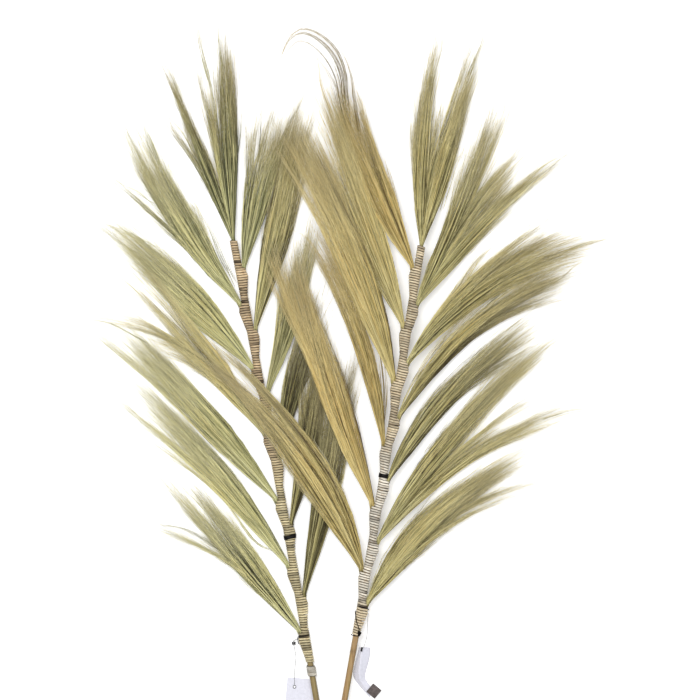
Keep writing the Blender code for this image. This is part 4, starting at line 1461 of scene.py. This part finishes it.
def add_plume(branch, plume, number, blade, hair, stray, slot):
    """One plume, whose random draws are its own by its number."""
    meshes = []
    opening = OPENING[branch.name]
    for index, lock in enumerate(plume.locks):
        rng = np.random.default_rng(SEED + SEED_STEP * number + index)
        line_at, reach = lock_line(branch, plume, lock), lock[2] * MM
        full = lock[3] * MM * sizes().fullness
        strands = blade_strands(rng, lock, plume.tone, plume.fray)
        meshes.append(grown(line_at, reach, full, opening, strands, blade))
        strands = hair_strands(rng, lock, plume.tone)
        meshes.append(grown(line_at, reach, full, opening, strands, hair))
    rng = np.random.default_rng(SEED + SEED_STEP * number + STRAY_SEED)
    for count, tone, places in STRAYS.get(plume.name, ()):
        line_at, reach = stray_line(places, plume.rest)
        strands = stray_strands(rng, count, tone)
        meshes.append(grown(line_at, reach, STRAY_WIDE, opening, strands, stray))
    name = f"{plume.name}_grass"
    add_piece(name, joined(meshes, name), grass_material(plume, name), plume.name)


class RAYUNG_OT_plumes(bpy.types.Operator):
    """Grow every plume of both branches"""

    bl_idname = "rayung.plumes"
    bl_label = "Plumes"

    def execute(self, context):
        templates = [spindle(s) for s in (BLADE_STATIONS, HAIR_STATIONS, STRAY_STATIONS)]
        number = 0
        for branch, slot in ((LEFT, "sage_grass"), (RIGHT, "golden_grass")):
            for plume in branch.plumes:
                add_plume(branch, plume, number, *templates, slot)
                number += 1
        return {"FINISHED"}


# ---- Tape and threads

TAPE_THICKNESS = 0.8 * MM
TAPE_WAVE = 0.4 * MM
TAPE_SECTION = ((-1, 0.1), (-0.94, 1), (0.94, 1), (1, 0.1), (0.94, 0), (-0.94, 0))
TAPES = ((LEFT, 419.5, 426.5), (RIGHT, 527.5, 534.5))  # mm up the stick
THREAD_DIAMETER = 1.4 * MM

# Each thread's way on its binding: mm up the stick, and degrees round it
THREADS = (
    ("left_black_thread", LEFT, ((254, 30), (254, 60), (254, 90), (254, 120), (253.5, 150),
                                 (251, 172), (245, 180), (241, 180))),
    ("right_black_thread", RIGHT, ((298, 172), (292, 148), (285, 124), (277, 100), (270, 80),
                                   (266.5, 68))),
    ("right_end_thread", RIGHT, ((258, 60), (257.2, 85), (257, 115), (257, 150), (257, 190))),
    ("right_root_thread", RIGHT, ((308, 120), (307, 90), (306, 60), (304.5, 30), (303, 8))),
)
KNOT = (262, 62)
KNOT_HALVES = np.array((3.4, 5.0, 2.6)) * MM
KNOT_THREAD = 2.4 * MM
KNOT_POINTS = 60


def add_tape(branch, low, high, material):
    """A band of tape with rounded edges round a binding."""
    angle = np.radians(np.array(TURN_ANGLES, float))
    middle, half = (low + high) / 2 * MM, (high - low) / 2 * MM
    rings = []
    for x, y in TAPE_SECTION:
        at = middle + half * x + TAPE_WAVE * np.sin(angle * 2 + x)
        rings.append(binding_point(branch, at, angle, CLEARANCE + TAPE_THICKNESS * y))
    name = f"{branch.name}_tape_band"
    mesh = rolled(name, np.array(rings), ring_closed=True)
    add_piece(f"{name}_wrap", mesh, material, name)


def add_knot(material):
    """An overhand knot drawn tight."""
    t = np.linspace(0, FULL_TURN, KNOT_POINTS, endpoint=False)
    loops = [np.sin(t) + 2 * np.sin(2 * t), np.cos(t) - 2 * np.cos(2 * t), -np.sin(3 * t)]
    loops = np.stack(loops, -1)
    loops = loops / np.abs(loops).max(0) * (KNOT_HALVES - KNOT_THREAD / 2)
    across, up = heading(RIGHT.lean + 90.0), heading(RIGHT.lean)
    line = loops[:, :1] * across + loops[:, 1:2] * up + loops[:, 2:] * np.array((0, 0, 1))
    line = line + on_binding(RIGHT, [KNOT], CLEARANCE + KNOT_HALVES[2])[0]
    curve = cord_curve("right_knot", line, KNOT_THREAD, closed=True)
    add_piece("right_knot_loops", curve, material, "right_knot")


class RAYUNG_OT_ties(bpy.types.Operator):
    """Add the tape bands, the black threads and the knot"""

    bl_idname = "rayung.ties"
    bl_label = "Tape and threads"

    def execute(self, context):
        black = tuple(colours().black)
        tape = plain_finish("black tape", black, roughness=0.5, scale=500.0, variation=0.3,
                            strength=0.25, specular=0.15)
        thread = plain_finish("black thread", black, roughness=0.7, scale=1800.0, variation=0.5,
                              strength=0.6, specular=0.1)
        for branch, low, high in TAPES:
            add_tape(branch, low, high, tape)
        for name, branch, places in THREADS:
            route = on_binding(branch, places, CLEARANCE + THREAD_DIAMETER / 2)
            curve = cord_curve(name, smooth_route(route, THREAD_DIAMETER), THREAD_DIAMETER)
            add_piece(f"{name}_strand", curve, thread, name)
        add_knot(thread)
        return {"FINISHED"}


# ---- Tags

LEFT_EYELET = (-58.3, 162, 1.4)
EYELET_RADIUS = 2.4 * MM
EYELET_WIRE = 0.5 * MM
EYELET_SIDES = (36, 10)  # round the ring and round its wire
SEAL_PLACE = (-59.5, 236, 0.0)
SEAL_POINTS = 6
SEAL_OUTER = 4.2 * MM
SEAL_INNER = 2.6 * MM
SEAL_THICKNESS = 1.8 * MM
SEAL_SOFTNESS = 0.3 * MM
FLAT_ABOVE = 40  # degrees, past which an edge stays sharp
CARD_THICKNESS = 0.6 * MM
CARD_LEVELS = 3
FOLD_CREASE = 0.75
EDGE_CREASE = 0.6

# Rows down the folded card: its left edge, its fold and its right edge
RIGHT_CARD = (
    ((52, 229, 0.6), (55.6, 231, 13), (70, 229, 0.6)),
    ((48, 216, 0.6), (54, 214, 14), (70, 214, 0.6)),
    ((43.7, 197, 0.6), (51.5, 196, 14), (65, 195.5, 0.6)),
    ((39.4, 180, 0.6), (51.3, 180, 12), (60, 180, 0.6)),
    ((53, 162, 0.6), (56, 167.5, 5), (63.5, 172, 0.6)),
    ((70, 144, 0.6), (70.2, 153, 4), (70.4, 163, 0.6)),
)
PATCH_SIZE = (18.5 * MM, 18.5 * MM, 0.5 * MM)
PATCH_SOFTNESS = 0.2 * MM
PATCH_MIDDLE = (76.5, 155.5, 5.2)
PATCH_TURN = 40
CLASP_SIZE = (3.2 * MM, 7.5 * MM, 2.2 * MM)
CLASP_SOFTNESS = 0.5 * MM
CLASP_MIDDLE = (55.8, 228, 15.7)
CLASP_TURN = 12


def add_eyelet(material):
    around = np.linspace(0, FULL_TURN, EYELET_SIDES[0], endpoint=False)[:, None]
    tube = np.linspace(0, FULL_TURN, EYELET_SIDES[1], endpoint=False)[None, :]
    out = EYELET_RADIUS + EYELET_WIRE * np.cos(tube)
    rings = np.stack([out * np.cos(around), out * np.sin(around),
                      EYELET_WIRE * np.sin(tube) + 0 * around], -1)
    mesh = rolled("eyelet", rings + from_crossing(LEFT_EYELET), ring_closed=True)
    add_piece("left_tag_eyelet_ring", mesh, material, "left_tag_eyelet")


def add_seal(material):
    """A flat star with softened edges, which closes the string's loop."""
    bm = bmesh.new()
    bmesh.ops.create_circle(bm, cap_ends=True, segments=2 * SEAL_POINTS, radius=SEAL_OUTER)
    for vertex in list(bm.verts)[1::2]:
        vertex.co *= SEAL_INNER / SEAL_OUTER
    added = bmesh.ops.extrude_face_region(bm, geom=bm.faces[:])["geom"]
    top = [item for item in added if isinstance(item, bmesh.types.BMVert)]
    bmesh.ops.translate(bm, vec=(0, 0, SEAL_THICKNESS), verts=top)
    bmesh.ops.bevel(bm, geom=bm.edges[:], offset=SEAL_SOFTNESS, segments=2, profile=0.5,
                    affect="EDGES", material=-1)
    bmesh.ops.translate(bm, vec=from_crossing(SEAL_PLACE), verts=bm.verts)
    mesh = finished(bm, "seal", FLAT_ABOVE)
    add_piece("left_tag_seal_star", mesh, material, "left_tag_seal")


def add_block(name, size, middle, turn, softness, material, node):
    """A flat block with softened edges, turned on the plan."""
    bm = bmesh.new()
    bmesh.ops.create_cube(bm, size=1.0)
    bmesh.ops.scale(bm, vec=size, verts=bm.verts)
    bmesh.ops.bevel(bm, geom=bm.edges[:], offset=softness, segments=3, profile=0.5,
                    affect="EDGES", material=-1)
    turned = -math.radians(turn)
    bmesh.ops.rotate(bm, cent=(0, 0, 0), matrix=Matrix.Rotation(turned, 3, "Z"), verts=bm.verts)
    bmesh.ops.translate(bm, vec=from_crossing(middle), verts=bm.verts)
    add_piece(name, finished(bm, name, FLAT_ABOVE), material, node)


def add_folded_card(material):
    """A card folded along its middle, standing on its long edges, and curled at its foot."""
    bm = bmesh.new()
    bmesh.ops.create_grid(bm, x_segments=2, y_segments=len(RIGHT_CARD) - 1, size=1.0)
    corners = sorted(bm.verts, key=lambda vertex: (round(-vertex.co.y, 3), vertex.co.x))
    for vertex, place in zip(corners, [place for row in RIGHT_CARD for place in row]):
        vertex.co = from_crossing(place)
    crease = bm.edges.layers.float.new("crease_edge")
    ridge = set(corners[1::3])
    for edge in bm.edges:
        if ridge.issuperset(edge.verts):
            edge[crease] = FOLD_CREASE
        elif edge.is_boundary:
            edge[crease] = EDGE_CREASE
    piece = add_piece("right_tag_card_sheet", finished(bm, "folded card"), material,
                      "right_tag_card")
    round_ = piece.modifiers.new("curl", "SUBSURF")
    round_.levels = round_.render_levels = CARD_LEVELS
    solid = piece.modifiers.new("thickness", "SOLIDIFY")
    solid.thickness = CARD_THICKNESS
    solid.offset = 0


class RAYUNG_OT_tags(bpy.types.Operator):
    """Add the two blank swing tags, with their eyelet, seal, clasp and patch"""

    bl_idname = "rayung.tags"
    bl_label = "Tags"

    def execute(self, context):
        c = colours()
        paper = plain_finish("white card", tuple(c.card), roughness=0.6, scale=260.0,
                             variation=0.06, strength=0.2)
        plastic = plain_finish("black plastic", tuple(c.black), roughness=0.35, scale=900.0,
                               variation=0.3, strength=0.1, specular=0.2)
        patch = plain_finish("brown paper", tuple(c.patch), roughness=0.55, scale=220.0,
                             variation=0.35, strength=0.3)
        refinish("left_tag_card", paper)
        add_eyelet(plastic)
        add_seal(plastic)
        add_folded_card(paper)
        add_block("right_tag_patch_square", PATCH_SIZE, PATCH_MIDDLE, PATCH_TURN,
                  PATCH_SOFTNESS, patch, "right_tag_patch")
        add_block("right_tag_clasp_body", CLASP_SIZE, CLASP_MIDDLE, CLASP_TURN,
                  CLASP_SOFTNESS, plastic, "right_tag_clasp")
        return {"FINISHED"}


class RAYUNG_OT_strings(bpy.types.Operator):
    """Hang the tags' strings"""

    bl_idname = "rayung.strings"
    bl_label = "Tag strings"

    def execute(self, context):
        add_string("left_tag_string", LEFT, LEFT_STRING_START, LEFT_STRING,
                   ("left_tag_seal_star", "left_tag_eyelet_ring", "left_tag_card"))
        add_string("right_tag_string", RIGHT, RIGHT_STRING_START, RIGHT_STRING,
                   ("right_tag_clasp_body",))
        return {"FINISHED"}


# ---- The stage

VIEW_MIDDLE = (-0.0025, 0.1589)
VIEW_SIDE = 1.19
LENS = 100.0
SENSOR = 36.0
FLOOR_HALF = 6.0
FLOOR_GLOW = 0.2
SKY = 0.42
LIGHTS = (  # name, place, size and power
    ("key", (-0.55, 0.75, 3.0), 1.3, 62),
    ("fill", (0.85, -0.5, 2.8), 1.6, 26),
)


class RAYUNG_OT_stage(bpy.types.Operator):
    """Set up the floor, the lights and the camera straight above the bundle"""

    bl_idname = "rayung.stage"
    bl_label = "Stage"

    def execute(self, context):
        scene = context.scene
        scene.view_settings.view_transform = "Standard"
        bm = bmesh.new()
        bmesh.ops.create_grid(bm, x_segments=1, y_segments=1, size=FLOOR_HALF)
        floor = bpy.data.objects.new("floor", mesh_of(bm, "floor"))
        scene.collection.objects.link(floor)
        pale = Finish("pale floor", roughness=0.9)
        pale.shader.inputs["Base Color"].default_value = (*colours().floor, 1)
        pale.shader.inputs["Emission Color"].default_value = (1, 1, 1, 1)
        pale.shader.inputs["Emission Strength"].default_value = FLOOR_GLOW
        floor.data.materials.append(pale.material)
        world = bpy.data.worlds.new("studio")
        world.use_nodes = True
        sky = world.node_tree.nodes["Background"]
        sky.inputs["Color"].default_value = (1, 1, 1, 1)
        sky.inputs["Strength"].default_value = SKY
        scene.world = world
        for light in LIGHTS:
            add_light(*light)
        camera = bpy.data.objects.new("camera", bpy.data.cameras.new("camera"))
        camera.data.lens = LENS
        camera.data.sensor_width = SENSOR
        camera.location = (*VIEW_MIDDLE, VIEW_SIDE * LENS / SENSOR)
        scene.collection.objects.link(camera)
        scene.camera = camera
        return {"FINISHED"}


def add_light(name, place, size, power):
    light = bpy.data.lights.new(name, "AREA")
    light.shape = "DISK"
    light.size = size
    light.energy = power
    lamp = bpy.data.objects.new(name, light)
    lamp.location = place
    aim = Vector((*VIEW_MIDDLE, 0)) - Vector(place)
    lamp.rotation_euler = aim.to_track_quat("-Z", "Y").to_euler()
    bpy.context.scene.collection.objects.link(lamp)


class RAYUNG_PT_panel(bpy.types.Panel):
    """The steps that dress the bundle"""

    bl_label = "Rayung bundle"
    bl_space_type = "VIEW_3D"
    bl_region_type = "UI"
    bl_category = "Rayung"

    def draw(self, context):
        for step in STEPS:
            self.layout.operator(step.bl_idname)
        for group in (sizes(), colours()):
            box = self.layout.box()
            for key in group.__annotations__:
                box.prop(group, key)


STEPS = (
    RAYUNG_OT_stage, RAYUNG_OT_tags, RAYUNG_OT_strings, RAYUNG_OT_sticks, RAYUNG_OT_bindings,
    RAYUNG_OT_plumes, RAYUNG_OT_ties,
)
CLASSES = (RayungSizes, RayungColours, *STEPS, RAYUNG_PT_panel)


def register():
    for kind in CLASSES:
        bpy.utils.register_class(kind)
    bpy.types.Scene.rayung_sizes = bpy.props.PointerProperty(type=RayungSizes)
    bpy.types.Scene.rayung_colours = bpy.props.PointerProperty(type=RayungColours)


def unregister():
    del bpy.types.Scene.rayung_colours
    del bpy.types.Scene.rayung_sizes
    for kind in reversed(CLASSES):
        bpy.utils.unregister_class(kind)


def main():
    register()
    for step in STEPS:
        getattr(bpy.ops.rayung, step.bl_idname.split(".")[1])()


if __name__ == "__main__":
    main()
